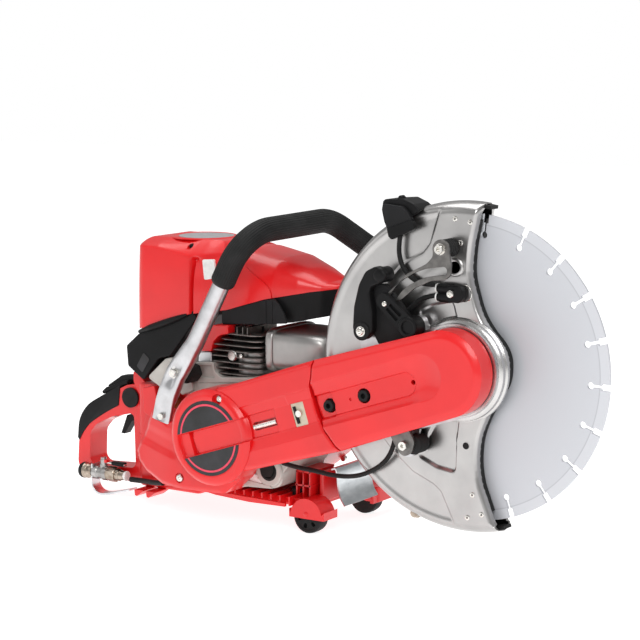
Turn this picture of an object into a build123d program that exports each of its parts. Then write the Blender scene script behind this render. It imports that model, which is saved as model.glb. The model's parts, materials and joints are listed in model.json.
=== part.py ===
"""Petrol rescue saw with a 14 inch diamond blade, a belt arm and a tilting blade guard.

Lengths are millimetres. +X points forward along the saw, +Y to the operator's left and
+Z up. Z = 0 is the floor under the wheels. The engine is placed from the crank axis and
the blade group from the spindle axis; Y places are measured from the blade's mid plane.
"""
from build123d import *
from math import cos, radians, sin, tan
import os

os.makedirs("parts", exist_ok=True)

# ---------------------------------------------------------------- driving dimensions
crank_z = 119.0              # height of the crank axis above the floor
handle_rear = 292.0          # crank axis to the back of the rear handle
saw_near = -72.0             # clutch cover face, from the blade's mid plane
saw_far = 193.0              # outer side of the front handle
arm_length = 337.1           # crank axis to spindle axis
arm_angle = 18.33            # the arm's rise, degrees

blade_radius = 177.5
blade_thickness = 3.2
segment_count = 21
gullet_angle = 83.34         # direction of the first gullet, degrees
gullet_depth = 23.5
spindle_radius = 10.0
flange_radius = 50.0
flange_thickness = 7.4

running_gap = 0.05           # radial clearance of a shaft in its bore
free_gap = 0.5               # space between pieces that pass each other
wall = 2.6                   # plastic and sheet covers

guard_gap = 13.5             # blade rim to the guard's outer face
guard_sheet = 2.0
guard_half_width = 22.0
guard_shoulder = 13.0
hub_ring_radius = 60.0
housing_radius = 30.0        # bearing housing that the guard turns on

arm_near = -34.0
arm_far = -25.0
arm_hub_radius = 54.0
cover_face = -66.0
front_cover_radius = 50.0
badge_radius = 59.0
cover_split = 161.0          # along the arm, where the two belt covers meet
split_gap = 1.6

drive_pulley_radius = 24.0
driven_pulley_radius = 40.0
belt_near = -54.0
belt_width = 12.0
belt_thickness = 3.0
belt_gap = 0.3
drum_radius = 38.0
drum_near = -38.0
drum_far = -14.0

stroke = 36.0
bore_radius = 25.5
rod_length = 60.0
engine_y = 30.0              # mid plane of the cylinder
case_near = -10.0
case_far = 72.0
case_deck = 44.0             # height of the cylinder's foot over the crank axis
bearing_width = 14.0
bearing_radius = 20.0
fin_pitch = 8.5
fin_thickness = 2.2
fin_count = 10
fin_start = 58.0

tube_radius = 11.0
tube_wall = 3.0
grip_thickness = 4.0
wheel_radius = 20.5
wheel_width = 17.0
axle_radius = 4.0
axle_x = 99.0                # wheel axle from the crank axis
near_wheel_y = -5.0
wheel_spacing = 126.0
hose_radius = 3.5
arm_hose_radius = 2.8

# ---------------------------------------------------------------- datums and helpers
arm_forward = arm_length * cos(radians(arm_angle))
arm_up = arm_length * sin(radians(arm_angle))
crank_x = (handle_rear - arm_forward - blade_radius) / 2     # centres the saw on X = 0
blade_y = -(saw_near + saw_far) / 2                          # centres the saw on Y = 0
spindle_x = crank_x + arm_forward
spindle_z = crank_z + arm_up
guard_radius = blade_radius + guard_gap
floor_z = -crank_z
axle_z = floor_z + wheel_radius


def side(y):
    """Side plane of the engine: local x forward, local y up, from the crank axis."""
    return Plane(origin=(crank_x, blade_y + y, crank_z), x_dir=(1, 0, 0), z_dir=(0, -1, 0))


def blade_side(y):
    """Side plane of the blade group, from the spindle axis."""
    return Plane(origin=(spindle_x, blade_y + y, spindle_z), x_dir=(1, 0, 0), z_dir=(0, -1, 0))


def arm_side(y):
    """Side plane of the arm: local x runs from the crank axis to the spindle axis."""
    along = (cos(radians(arm_angle)), 0, sin(radians(arm_angle)))
    return Plane(origin=(crank_x, blade_y + y, crank_z), x_dir=along, z_dir=(0, -1, 0))


def level(z):
    """Level plane at a height over the crank axis: local x forward, local y to the left."""
    return Plane(origin=(crank_x, blade_y, crank_z + z), x_dir=(1, 0, 0), z_dir=(0, 0, 1))


def at(x, y, z):
    """Point given from the crank axis and the blade's mid plane."""
    return (crank_x + x, blade_y + y, crank_z + z)


def bar(datum, x, z, near, far, radius, mode=Mode.ADD):
    """Round bar across the saw, from near to far."""
    with BuildSketch(datum(far)) as shape:
        with Locations((x, z)):
            Circle(radius)
    extrude(shape.sketch, amount=far - near, mode=mode)


def ring(datum, x, z, near, far, outer, inner, mode=Mode.ADD):
    """Tube across the saw."""
    with BuildSketch(datum(far)) as shape:
        with Locations((x, z)):
            Circle(outer)
            Circle(inner, mode=Mode.SUBTRACT)
    extrude(shape.sketch, amount=far - near, mode=mode)


def block(x0, x1, near, far, z0, z1, mode=Mode.ADD):
    """Block from its two corners."""
    with BuildSketch(side(far)) as shape:
        with Locations(((x0 + x1) / 2, (z0 + z1) / 2)):
            Rectangle(x1 - x0, z1 - z0)
    extrude(shape.sketch, amount=far - near, mode=mode)


def slab(datum, outline, near, far, radius=0.0, mode=Mode.ADD):
    """Plate of a side outline, with its corners rounded where a radius is given."""
    with BuildSketch(datum(far)) as shape:
        with BuildLine():
            if radius:
                FilletPolyline(*outline, radius=radius, close=True)
            else:
                Polyline(*outline, close=True)
        make_face()
    extrude(shape.sketch, amount=far - near, mode=mode)


def hull(datum, circles, near, far, mode=Mode.ADD):
    """Plate round several circles (x, z, radius), with straight flanks."""
    with BuildSketch(datum(far)) as shape:
        for x, z, radius in circles:
            with Locations((x, z)):
                Circle(radius)
        make_hull()
    extrude(shape.sketch, amount=far - near, mode=mode)


def upright(x, y, z0, z1, radius, mode=Mode.ADD):
    """Round bar standing up."""
    with BuildSketch(level(z0)) as shape:
        with Locations((x, y)):
            Circle(radius)
    extrude(shape.sketch, amount=z1 - z0, mode=mode)


def route(points, name, share=0.45):
    """Straight runs joined by arcs that are as large as the shorter run allows."""
    corners = [Vector(*at(*p)) for p in points]
    radii = []
    for before, corner, after in zip(corners, corners[1:], corners[2:]):
        turn = (corner - before).get_angle(after - corner)
        shorter = min((corner - before).length, (after - corner).length)
        radii.append(share * shorter / tan(radians(turn / 2)))
    print(name, "radii", [round(r, 1) for r in radii])
    return corners, radii


def tube_along(points, name, radius):
    """Solid round tube along a route."""
    corners, radii = route(points, name)
    with BuildPart() as tube:
        with BuildLine() as path:
            FilletPolyline(*corners, radius=radii)
        with BuildSketch(Plane(origin=corners[0], z_dir=corners[1] - corners[0])):
            Circle(radius)
        sweep(path=path.wires()[0])
    print(name, "length", round(path.wires()[0].length, 1), "volume", round(tube.part.volume, 1))
    return tube


# ---------------------------------------------------------------- blade and spindle
with BuildPart() as blade:
    with BuildSketch(blade_side(blade_thickness / 2)):
        Circle(blade_radius)
        Circle(spindle_radius + running_gap, mode=Mode.SUBTRACT)
        gullet_root = blade_radius - gullet_depth
        with PolarLocations(gullet_root, segment_count, start_angle=gullet_angle):
            Circle(4.0, mode=Mode.SUBTRACT)
        with PolarLocations(gullet_root + gullet_depth / 2, segment_count, start_angle=gullet_angle):
            Rectangle(gullet_depth + 2, 3.4, mode=Mode.SUBTRACT)
        with PolarLocations(blade_radius - 3, segment_count, start_angle=gullet_angle):
            Rectangle(14, 7.5, mode=Mode.SUBTRACT)
    extrude(amount=blade_thickness)
blade.part.label = "blade"
export_step(blade.part, "parts/blade.step")

flange_far = blade_thickness / 2 + flange_thickness
with BuildPart() as blade_flanges:
    for near, far in ((-flange_far, -blade_thickness / 2), (blade_thickness / 2, flange_far)):
        ring(blade_side, 0, 0, near, far, flange_radius, spindle_radius + running_gap)
    for near in (-flange_far, flange_far - 2.5):
        ring(blade_side, 0, 0, near, near + 2.5, flange_radius - 7, 17, mode=Mode.SUBTRACT)
blade_flanges.part.label = "blade_flanges"
export_step(blade_flanges.part, "parts/blade_flanges.step")

spindle_near = belt_near - 4
with BuildPart() as spindle:
    bar(blade_side, 0, 0, spindle_near, flange_far, spindle_radius)
    bar(blade_side, 0, 0, flange_far - 20, flange_far, 4.5, mode=Mode.SUBTRACT)
spindle.part.label = "spindle"
export_step(spindle.part, "parts/spindle.step")

with BuildPart() as arbor_bolt:
    bar(blade_side, 0, 0, flange_far, flange_far + 3, 16)
    with BuildSketch(blade_side(flange_far + 13)):
        RegularPolygon(11, 6)
    extrude(amount=10)
    bar(blade_side, 0, 0, flange_far - 18, flange_far, 4.4)
arbor_bolt.part.label = "arbor_bolt"
export_step(arbor_bolt.part, "parts/arbor_bolt.step")

with BuildPart() as driven_pulley:
    ring(blade_side, 0, 0, belt_near - 2, belt_near + belt_width + 3, driven_pulley_radius,
         spindle_radius + running_gap)
    for near in (belt_near - 3, belt_near + 5):
        ring(blade_side, 0, 0, near, near + 5, driven_pulley_radius - 6, 16, mode=Mode.SUBTRACT)
driven_pulley.part.label = "driven_pulley"
export_step(driven_pulley.part, "parts/driven_pulley.step")

# ---------------------------------------------------------------- arm, bearings and belt
lever_pivot = (-118, 40)
clamp_eye = (-50, 50)
stop_centre = (-62, -93)
with BuildPart() as arm_casting:
    hull(arm_side, [(0, 0, 52), (arm_length, 0, arm_hub_radius)], arm_near, arm_far)
    hull(blade_side, [(-110, 5, 14), (*lever_pivot, 11)], arm_near, arm_far)
    hull(blade_side, [(-46, 25, 12), (*clamp_eye, 10)], arm_near, arm_far)
    hull(blade_side, [(-58, -60, 14), (*stop_centre, 13)], arm_near, arm_near + 4)
    bar(blade_side, 0, 0, arm_near, -flange_far - 1, housing_radius)
    bar(blade_side, *lever_pivot, arm_near - 6.5, arm_near, 5)
    bar(blade_side, *clamp_eye, arm_near - 6.5, arm_near, 5)
    bar(side, 0, 0, arm_near, arm_far, drum_radius + 2, mode=Mode.SUBTRACT)
    bar(blade_side, 0, 0, arm_near, -flange_far - 1, 21.02, mode=Mode.SUBTRACT)
    with BuildSketch(side(case_near)):
        with PolarLocations(46, 3, start_angle=140):
            Circle(5)
    extrude(amount=case_near - arm_far)
arm_casting.part.label = "arm_casting"
export_step(arm_casting.part, "parts/arm_casting.step")

with BuildPart() as ball_bearings:
    for near in (arm_near + 2, arm_near + 13):
        ring(blade_side, 0, 0, near, near + 10, 21, spindle_radius + running_gap / 2)
    for near in (case_near + 2, case_far - 4 - bearing_width):
        ring(side, 0, 0, near, near + bearing_width, bearing_radius, 10)
ball_bearings.part.label = "ball_bearings"
export_step(ball_bearings.part, "parts/ball_bearings.step")

belt_far = belt_near + belt_width
with BuildPart() as drive_belt:
    outer = belt_gap + belt_thickness
    hull(arm_side, [(0, 0, drive_pulley_radius + outer),
                    (arm_length, 0, driven_pulley_radius + outer)], belt_near, belt_far)
    hull(arm_side, [(0, 0, drive_pulley_radius + belt_gap),
                    (arm_length, 0, driven_pulley_radius + belt_gap)],
         belt_near, belt_far, mode=Mode.SUBTRACT)
drive_belt.part.label = "drive_belt"
export_step(drive_belt.part, "parts/drive_belt.step")

# ---------------------------------------------------------------- belt covers
nut_places = ((175, 0), (225.5, 0))
taper_radius = 54.5
with BuildPart() as front_belt_cover:
    hull(arm_side, [(cover_split, 0, taper_radius), (arm_length, 0, front_cover_radius)],
         cover_face, arm_near)
    face_edges = front_belt_cover.faces().sort_by(Axis.Y)[0].edges()
    chamfer(face_edges, 4, 9)
    hull(arm_side, [(cover_split, 0, taper_radius - wall), (arm_length, 0, front_cover_radius - wall)],
         cover_face + 10, arm_near, mode=Mode.SUBTRACT)
    hull(arm_side, [(cover_split, 0, taper_radius - 12), (arm_length, 0, front_cover_radius - 12)],
         cover_face + wall, cover_face + 10, mode=Mode.SUBTRACT)
    hull(arm_side, [(178, 0, 11), (300, 0, 11)], cover_face, cover_face + 1.5, mode=Mode.SUBTRACT)
    for x, z in nut_places:
        bar(arm_side, x, z, cover_face, cover_face + 10, 9.5, mode=Mode.SUBTRACT)
    bar(arm_side, 293, 0, cover_face, cover_face + 10, 3, mode=Mode.SUBTRACT)
    with BuildSketch(arm_side(0)):
        with Locations((cover_split - 100, 0)):
            Rectangle(200, 200)
    extrude(amount=100, mode=Mode.SUBTRACT)
front_belt_cover.part.label = "front_belt_cover"
export_step(front_belt_cover.part, "parts/front_belt_cover.step")

clutch_lobe = [(-102, 5), (-131, -34), (-128, -46), (-117, -58), (-89, -72), (-54, -74), (0, -72),
               (20, -40), (0, 0), (-50, 8)]
clutch_face = -60.0
clutch_back = -12.0
with BuildPart() as rear_belt_cover:
    hull(arm_side, [(0, 0, badge_radius), (cover_split, 0, taper_radius)], cover_face, arm_near)
    with BuildSketch(arm_side(0)):
        with Locations((cover_split - split_gap + 100, 0)):
            Rectangle(200, 200)
    extrude(amount=100, mode=Mode.SUBTRACT)
    bar(side, 0, 0, saw_near, cover_face, badge_radius)
    slab(side, clutch_lobe, clutch_face, clutch_back, radius=9)
    hull(arm_side, [(0, 0, badge_radius - wall), (cover_split, 0, taper_radius - wall)],
         cover_face + wall, arm_near, mode=Mode.SUBTRACT)
    with BuildSketch(side(clutch_back)):
        with BuildLine():
            FilletPolyline(*clutch_lobe, radius=9, close=True)
        make_face()
        offset(amount=-wall, mode=Mode.REPLACE)
    extrude(amount=clutch_back - clutch_face - wall, mode=Mode.SUBTRACT)
    hull(arm_side, [(0, 0, badge_radius), (cover_split, 0, taper_radius)], arm_near, clutch_back,
         mode=Mode.SUBTRACT)
rear_belt_cover.part.label = "rear_belt_cover"
export_step(rear_belt_cover.part, "parts/rear_belt_cover.step")

# ---------------------------------------------------------------- clutch and crank train
with BuildPart() as clutch_drum:
    bar(side, 0, 0, belt_near - 2, drum_near, drive_pulley_radius)
    bar(side, 0, 0, drum_near, drum_far, drum_radius)
    bar(side, 0, 0, drum_near + 3, drum_far, drum_radius - 3, mode=Mode.SUBTRACT)
    bar(side, 0, 0, belt_near - 2, drum_far, 9 + running_gap, mode=Mode.SUBTRACT)
clutch_drum.part.label = "clutch_drum"
export_step(clutch_drum.part, "parts/clutch_drum.step")

with BuildPart() as clutch_shoes:
    ring(side, 0, 0, drum_near + 5, drum_far - 2, drum_radius - 3.5, 11)
    with BuildSketch(side(drum_far)):
        with PolarLocations(24, 3, start_angle=30):
            Rectangle(30, 6)
    extrude(amount=drum_far - drum_near, mode=Mode.SUBTRACT)
clutch_shoes.part.label = "clutch_shoes"
export_step(clutch_shoes.part, "parts/clutch_shoes.step")

crank_throw = stroke / 2
pin_z = crank_throw + rod_length
web_radius = 34.0
with BuildPart() as crankshaft:
    bar(side, 0, 0, belt_near - 3, engine_y - 6, 9)
    bar(side, 0, 0, engine_y + 6, 112, 9)
    bar(side, 0, 0, case_near + 2, engine_y - 6, 9.97)
    bar(side, 0, 0, engine_y + 6, case_far - 2, 9.97)
    bar(side, 0, 0, engine_y - 20, engine_y - 6, web_radius)
    bar(side, 0, 0, engine_y + 6, engine_y + 20, web_radius)
    bar(side, 0, crank_throw, engine_y - 6, engine_y + 6, 8)
crankshaft.part.label = "crankshaft"
export_step(crankshaft.part, "parts/crankshaft.step")

with BuildPart() as connecting_rod:
    hull(side, [(0, crank_throw, 7), (0, pin_z, 5)], engine_y - 3, engine_y + 3)
    bar(side, 0, crank_throw, engine_y - 5, engine_y + 5, 13)
    bar(side, 0, pin_z, engine_y - 5, engine_y + 5, 9)
    bar(side, 0, crank_throw, engine_y - 5, engine_y + 5, 8 + running_gap, mode=Mode.SUBTRACT)
    bar(side, 0, pin_z, engine_y - 5, engine_y + 5, 5 + running_gap, mode=Mode.SUBTRACT)
connecting_rod.part.label = "connecting_rod"
export_step(connecting_rod.part, "parts/connecting_rod.step")

pin_half = bore_radius - 3.5
with BuildPart() as piston:
    upright(0, engine_y, pin_z - 18, pin_z + 17, bore_radius - running_gap)
    upright(0, engine_y, pin_z - 18, pin_z + 12, bore_radius - 4, mode=Mode.SUBTRACT)
    bar(side, 0, pin_z, engine_y - pin_half, engine_y + pin_half, 5)
piston.part.label = "piston"
export_step(piston.part, "parts/piston.step")

case_outline = [(-80, case_deck), (60, case_deck), (84, 10), (91, -36), (84, -66), (-37, -81), (-80, -44)]
foot_bolt = (-62, 65)
chamber_radius = web_radius + 4
chamber_near = engine_y - 22
chamber_far = engine_y + 22
with BuildPart() as crankcase_right:
    slab(side, case_outline, case_near, engine_y, radius=8)
    slab(side, [(-78, 40), (-76, 76), (-50, 76), (-40, 40)], case_near, 3, radius=5)
    bar(side, *foot_bolt, -38.6, case_near, 9)
    slab(side, [(24, -74), (82, -66), (89, -38), (70, -26), (34, -28), (24, -46)],
         arm_far + 1, case_near, radius=5)
    bar(side, 0, 0, case_near, engine_y, 11, mode=Mode.SUBTRACT)
    bar(side, 0, 0, case_near + 2, engine_y, bearing_radius, mode=Mode.SUBTRACT)
    bar(side, 0, 0, chamber_near, engine_y, chamber_radius, mode=Mode.SUBTRACT)
    upright(0, engine_y, 0, case_deck, bore_radius + 1, mode=Mode.SUBTRACT)
crankcase_right.part.label = "crankcase_right"
export_step(crankcase_right.part, "parts/crankcase_right.step")

with BuildPart() as crankcase_left:
    slab(side, case_outline, engine_y, case_far, radius=8)
    bar(side, 0, 0, engine_y, case_far, 11, mode=Mode.SUBTRACT)
    bar(side, 0, 0, engine_y, case_far - 4, bearing_radius, mode=Mode.SUBTRACT)
    bar(side, 0, 0, engine_y, chamber_far, chamber_radius, mode=Mode.SUBTRACT)
    upright(0, engine_y, 0, case_deck, bore_radius + 1, mode=Mode.SUBTRACT)
crankcase_left.part.label = "crankcase_left"
export_step(crankcase_left.part, "parts/crankcase_left.step")

valve_place = (-11, 90)
barrel_radius = 31.0
shroud_floor = 120.0         # the shroud begins above this height
head_top = 142.0
with BuildPart() as cylinder:
    upright(0, engine_y, case_deck, shroud_floor, barrel_radius)
    upright(0, engine_y, shroud_floor, head_top, 22)
    block(-34, 30, engine_y - 31, engine_y + 31, case_deck, case_deck + 6)
    for n in range(fin_count):
        fin_z = fin_start + n * fin_pitch
        if fin_z < shroud_floor:
            block(-54, 30, 4, 66, fin_z, fin_z + fin_thickness)
        else:
            block(-38, 28, 8, 62, fin_z, fin_z + fin_thickness)
    bar(side, *valve_place, -2, 12, 9)
    bar(side, *valve_place, -2, 8, 5 + running_gap, mode=Mode.SUBTRACT)
    upright(0, engine_y, case_deck, pin_z + 20, bore_radius, mode=Mode.SUBTRACT)
    upright(0, engine_y, pin_z + 20, head_top, 6, mode=Mode.SUBTRACT)
cylinder.part.label = "cylinder"
export_step(cylinder.part, "parts/cylinder.step")

valve_room = 4.0
with BuildPart() as decompression_valve:
    bar(side, *valve_place, -8, engine_y - bore_radius - valve_room, 5)
decompression_valve.part.label = "decompression_valve"
export_step(decompression_valve.part, "parts/decompression_valve.step")

with BuildPart() as spark_plug:
    upright(0, engine_y, 108, head_top, 5.9)
    with BuildSketch(level(head_top)):
        with Locations((0, engine_y)):
            RegularPolygon(10, 6)
    extrude(amount=8)
    upright(0, engine_y, head_top + 8, 176, 5)
spark_plug.part.label = "spark_plug"
export_step(spark_plug.part, "parts/spark_plug.step")

with BuildPart() as muffler:
    block(33, 124, 4, 100, 87, 130)
    fillet(muffler.edges(), 9)
    block(45, 112, 16, 88, 95, 122, mode=Mode.SUBTRACT)
    block(barrel_radius, 36, 20, 44, 92, 112)
muffler.part.label = "muffler"
export_step(muffler.part, "parts/muffler.step")

with BuildPart() as flywheel:
    ring(side, 0, 0, 82, 90, 62, 9)
    ring(side, 0, 0, 90, 106, 22, 9)
    with BuildSketch(side(104)):
        with PolarLocations(46, 14):
            Rectangle(28, 2.4, rotation=12)
    extrude(amount=14)
flywheel.part.label = "flywheel"
export_step(flywheel.part, "parts/flywheel.step")

# ---------------------------------------------------------------- starter
starter_near = 78.0
starter_far = 150.0
starter_radius = 78.0
rope_place = (15, 138)
with BuildPart() as starter_cover:
    hull(side, [(0, 0, starter_radius), (30, 10, 66), (-30, -20, 50)], starter_near, starter_far)
    fillet(starter_cover.faces().sort_by(Axis.Y)[-1].edges(), 8)
    hull(side, [(0, 0, starter_radius - wall), (30, 10, 66 - wall), (-30, -20, 50 - wall)],
         starter_near, starter_far - 10, mode=Mode.SUBTRACT)
    with BuildSketch(side(starter_far)):
        for radius in (26, 38, 50):
            with PolarLocations(radius, 8, start_angle=22.5):
                SlotOverall(14, 4, rotation=90)
    extrude(amount=12, mode=Mode.SUBTRACT)
    bar(side, 0, 0, 118, starter_far - 10, 6)
starter_cover.part.label = "starter_cover"
export_step(starter_cover.part, "parts/starter_cover.step")

with BuildPart() as starter_pulley:
    ring(side, 0, 0, 120, 134, 42, 6 + running_gap)
    ring(side, 0, 0, 124, 130, 44, 38, mode=Mode.SUBTRACT)
starter_pulley.part.label = "starter_pulley"
export_step(starter_pulley.part, "parts/starter_pulley.step")

grip_z = 84.0
with BuildPart() as starter_handle:
    block(rope_place[0] - 30, rope_place[0] + 30, rope_place[1] - 9, rope_place[1] + 9, grip_z, grip_z + 16)
    fillet(starter_handle.edges().filter_by(Axis.Y), 6)
starter_handle.part.label = "starter_handle"
export_step(starter_handle.part, "parts/starter_handle.step")

# ---------------------------------------------------------------- intake and top covers
with BuildPart() as carburettor:
    block(-78, -54.5, 15, 45, 68, 106)
    with BuildSketch(Plane(origin=at(-78, 30, 86), x_dir=(0, 1, 0), z_dir=(1, 0, 0))):
        Circle(10)
    extrude(amount=24, mode=Mode.SUBTRACT)
carburettor.part.label = "carburettor"
export_step(carburettor.part, "parts/carburettor.step")

intake_outline = [(-185, 86), (-164, 104), (-93, 136), (-79, 138), (-80, 100), (-112, 80), (-161, 43), (-186, 64)]
with BuildPart() as intake_box:
    slab(side, intake_outline, 4, 122, radius=3)
    block(-150, -95, 14, 112, 90, 140, mode=Mode.SUBTRACT)
intake_box.part.label = "intake_box"
export_step(intake_box.part, "parts/intake_box.step")

filter_outline = [(-165, 107), (-165, 228), (-47, 228), (-47, 143), (-92, 143)]
filter_near = -3.0
filter_far = 126.0
with BuildPart() as filter_cover:
    slab(side, filter_outline, filter_near, filter_far)
    fillet(filter_cover.edges().filter_by(Axis.Z), 14)
    fillet(filter_cover.faces().sort_by(Axis.Z)[-1].edges(), 8)
    slab(side, [(-162, 100), (-162, 224), (-50, 224), (-50, 130), (-92, 130)],
         filter_near + 4, filter_far - 4, mode=Mode.SUBTRACT)
filter_cover.part.label = "filter_cover"
export_step(filter_cover.part, "parts/filter_cover.step")

with BuildPart() as air_filter:
    upright(-118, 62, 138, 212, 38)
    upright(-118, 62, 138, 200, 26, mode=Mode.SUBTRACT)
air_filter.part.label = "air_filter"
export_step(air_filter.part, "parts/air_filter.step")

cover_near = 4.0
cover_far = 120.0


def dome(shrink, near, far, floor, mode=Mode.ADD):
    """The engine cover's arched side shape, smaller by shrink."""
    with BuildSketch(side(far)) as shape:
        with BuildLine():
            roof = ThreePointArc((-44 + shrink, 228 - shrink), (37, 211 - shrink), (112 - shrink, 179))
            Polyline(roof @ 1, (30, 165 - floor), (-44 + shrink, 157 - floor), roof @ 0)
        make_face()
    extrude(shape.sketch, amount=far - near, mode=mode)


with BuildPart() as engine_cover:
    dome(0, cover_near, cover_far, 0)
    dome(4, cover_near + 4, cover_far - 4, 12, mode=Mode.SUBTRACT)
engine_cover.part.label = "engine_cover"
export_step(engine_cover.part, "parts/engine_cover.step")

shroud_outline = [(-44, 125), (23, 130), (56, 133), (119, 147), (116, 178), (30, 164), (-44, 156)]
with BuildPart() as cylinder_shroud:
    slab(side, shroud_outline, 2, 122)
    block(-41, 108, 6, 118, 120, 190, mode=Mode.SUBTRACT)
cylinder_shroud.part.label = "cylinder_shroud"
export_step(cylinder_shroud.part, "parts/cylinder_shroud.step")

# ---------------------------------------------------------------- base, tank and wheels
pan_top = -84.0
pan_bottom = -99.0
fender_radius = wheel_radius + 4.5
tank_rear = -186.0
tank_far = 124.0
with BuildPart() as base_frame:
    block(-130, 106, 0, tank_far, pan_bottom, pan_top)
    block(tank_rear, -84, 22, tank_far, pan_bottom, 38)
    fillet(base_frame.edges().filter_by(Axis.Y).group_by(Axis.X)[0], 6)
    block(100, 106, 20, 110, pan_top, -46)
    block(104, 128, 112, 172, pan_bottom, pan_top)
    block(tank_rear + wall, -84 - wall, 22 + wall, tank_far - wall, pan_bottom + wall, 38 - wall,
          mode=Mode.SUBTRACT)
    for near in (near_wheel_y, near_wheel_y + wheel_spacing):
        hull(side, [(axle_x, axle_z, fender_radius)], near - 3, near + wheel_width + 3)
        block(axle_x - fender_radius, axle_x + fender_radius, near - 3, near + wheel_width + 3,
              axle_z - 5, axle_z)
    for near in (near_wheel_y, near_wheel_y + wheel_spacing):
        bar(side, axle_x, axle_z, near - 1, near + wheel_width + 1, wheel_radius + 1.8,
            mode=Mode.SUBTRACT)
        block(axle_x - fender_radius - 1, axle_x + fender_radius + 1, near - 4,
              near + wheel_width + 4, axle_z - 40, axle_z - 5, mode=Mode.SUBTRACT)
        bar(side, axle_x, axle_z, near - 4, near + wheel_width + 4, axle_radius + running_gap,
            mode=Mode.SUBTRACT)
base_frame.part.label = "base_frame"
export_step(base_frame.part, "parts/base_frame.step")

for name, near in (("near_wheel", near_wheel_y), ("far_wheel", near_wheel_y + wheel_spacing)):
    with BuildPart() as wheel:
        ring(side, axle_x, axle_z, near, near + wheel_width, wheel_radius, axle_radius + running_gap)
        chamfer(wheel.edges().filter_by(GeomType.CIRCLE).group_by(SortBy.RADIUS)[-1], 2)
        with BuildSketch(side(near + wheel_width)):
            with Locations((axle_x, axle_z)):
                with PolarLocations(12, 4, start_angle=45):
                    SlotOverall(9, 5)
        extrude(amount=wheel_width, mode=Mode.SUBTRACT)
    wheel.part.label = name
    export_step(wheel.part, f"parts/{name}.step")

with BuildPart() as skid_plate:
    slab(side, [(107, -44), (112, -42), (132, -88), (118, -90), (117, -87.5), (128, -86), (110, -46)],
         30, 107)
skid_plate.part.label = "skid_plate"
export_step(skid_plate.part, "parts/skid_plate.step")

with BuildPart() as anti_vibration_mounts:
    bar(side, 53, -41, arm_far + 0.1, arm_far + 1, 10)
    bar(side, -199, 14, 25, 28, 13)
    bar(blade_side, *stop_centre, arm_near + 4, -guard_half_width - 1, 13)
    for x, y in ((-30, 20), (70, 20), (70, 60)):
        upright(x, y, pan_top, -70, 9)
    slab(side, case_outline, case_near, case_far, radius=8, mode=Mode.SUBTRACT)
anti_vibration_mounts.part.label = "anti_vibration_mounts"
export_step(anti_vibration_mounts.part, "parts/anti_vibration_mounts.step")

with BuildPart() as fuel_cap:
    bar(side, -140, -10, tank_far + free_gap, tank_far + 14, 20)
    with BuildSketch(side(tank_far + 14)):
        with Locations((-140, -10)):
            with PolarLocations(20, 12):
                Circle(2)
    extrude(amount=10, mode=Mode.SUBTRACT)
fuel_cap.part.label = "fuel_cap"
export_step(fuel_cap.part, "parts/fuel_cap.step")

with BuildPart() as primer_bulb:
    bar(side, -117, 18, 6, 17, 10)
    fillet(primer_bulb.faces().sort_by(Axis.Y)[0].edges(), 6)
primer_bulb.part.label = "primer_bulb"
export_step(primer_bulb.part, "parts/primer_bulb.step")

# ---------------------------------------------------------------- rear handle
handle_near = 28.0
handle_far = 64.0
handle_outer = [(tank_rear, 36), (-205, 30), (-250, 8), (-272, -6), (-285, -25), (-289, -55),
                (-handle_rear + 0.4, -86), (-280, -97), (tank_rear, -98)]
handle_inner = [(-199, -4), (-232, -15), (-255, -27), (-262, -38), (-263, -78), (-199, -76)]
with BuildPart() as rear_handle:
    slab(side, handle_outer, handle_near, handle_far)
    fillet(rear_handle.edges().filter_by(Axis.Y).group_by(Axis.X)[0], 9)
    slab(side, handle_inner, handle_near, handle_far, radius=6, mode=Mode.SUBTRACT)
rear_handle.part.label = "rear_handle"
export_step(rear_handle.part, "parts/rear_handle.step")

with BuildPart() as rear_handle_grip:
    slab(side, [(-250, 8.4), (-272, -5.6), (-285.2, -24.8), (-289.4, -55), (-handle_rear, -55),
                (-290, -22), (-275, 0), (-252, 14)], handle_near, handle_far)
rear_handle_grip.part.label = "rear_handle_grip"
export_step(rear_handle_grip.part, "parts/rear_handle_grip.step")

pivot_radius = 2.5
lockout_pivot = (-203, 38)
trigger_pivot = (-203, -12)
with BuildPart() as throttle_lockout:
    slab(side, [(-203, 36), (-244, 17), (-247, 24), (-224, 39), (-201, 42)], 40, 52)
    bar(side, *lockout_pivot, 38, 54, pivot_radius)
throttle_lockout.part.label = "throttle_lockout"
export_step(throttle_lockout.part, "parts/throttle_lockout.step")

with BuildPart() as throttle_trigger:
    slab(side, [(-202, -8), (-216, -13), (-226, -38), (-220, -38), (-208, -20), (-201, -18)], 40, 52)
    bar(side, *trigger_pivot, 38, 54, pivot_radius)
throttle_trigger.part.label = "throttle_trigger"
export_step(throttle_trigger.part, "parts/throttle_trigger.step")

with BuildPart() as stop_switch:
    block(-212, -200, handle_far, handle_far + 5, 10, 18)
stop_switch.part.label = "stop_switch"
export_step(stop_switch.part, "parts/stop_switch.step")

# ---------------------------------------------------------------- front handle
leg_foot = (-76, -50, 28)
leg_knee = (-60, -50, 62)
grip_corners = [(40, -50, 248), (57, 108, 253)]
far_leg_y = saw_far - tube_radius
far_corner = (115, far_leg_y, 186)
far_low = (115, far_leg_y, -42)
far_foot = (115, 158, -84)
tube_route = [leg_foot, leg_knee, *grip_corners, far_corner, far_low, far_foot]
tube_radii = [30, 48, 42, 30, 30]


def handle_bar(points, radii, radius, bore=0.0):
    """Round bar, or sleeve where a bore is given, along the handle's bent line."""
    corners = [Vector(*at(*p)) for p in points]
    with BuildPart() as piece:
        with BuildLine() as path:
            FilletPolyline(*corners, radius=radii)
        with BuildSketch(Plane(origin=corners[0], z_dir=corners[1] - corners[0])):
            Circle(radius)
            if bore:
                Circle(bore, mode=Mode.SUBTRACT)
        sweep(path=path.wires()[0])
    return piece


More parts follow.
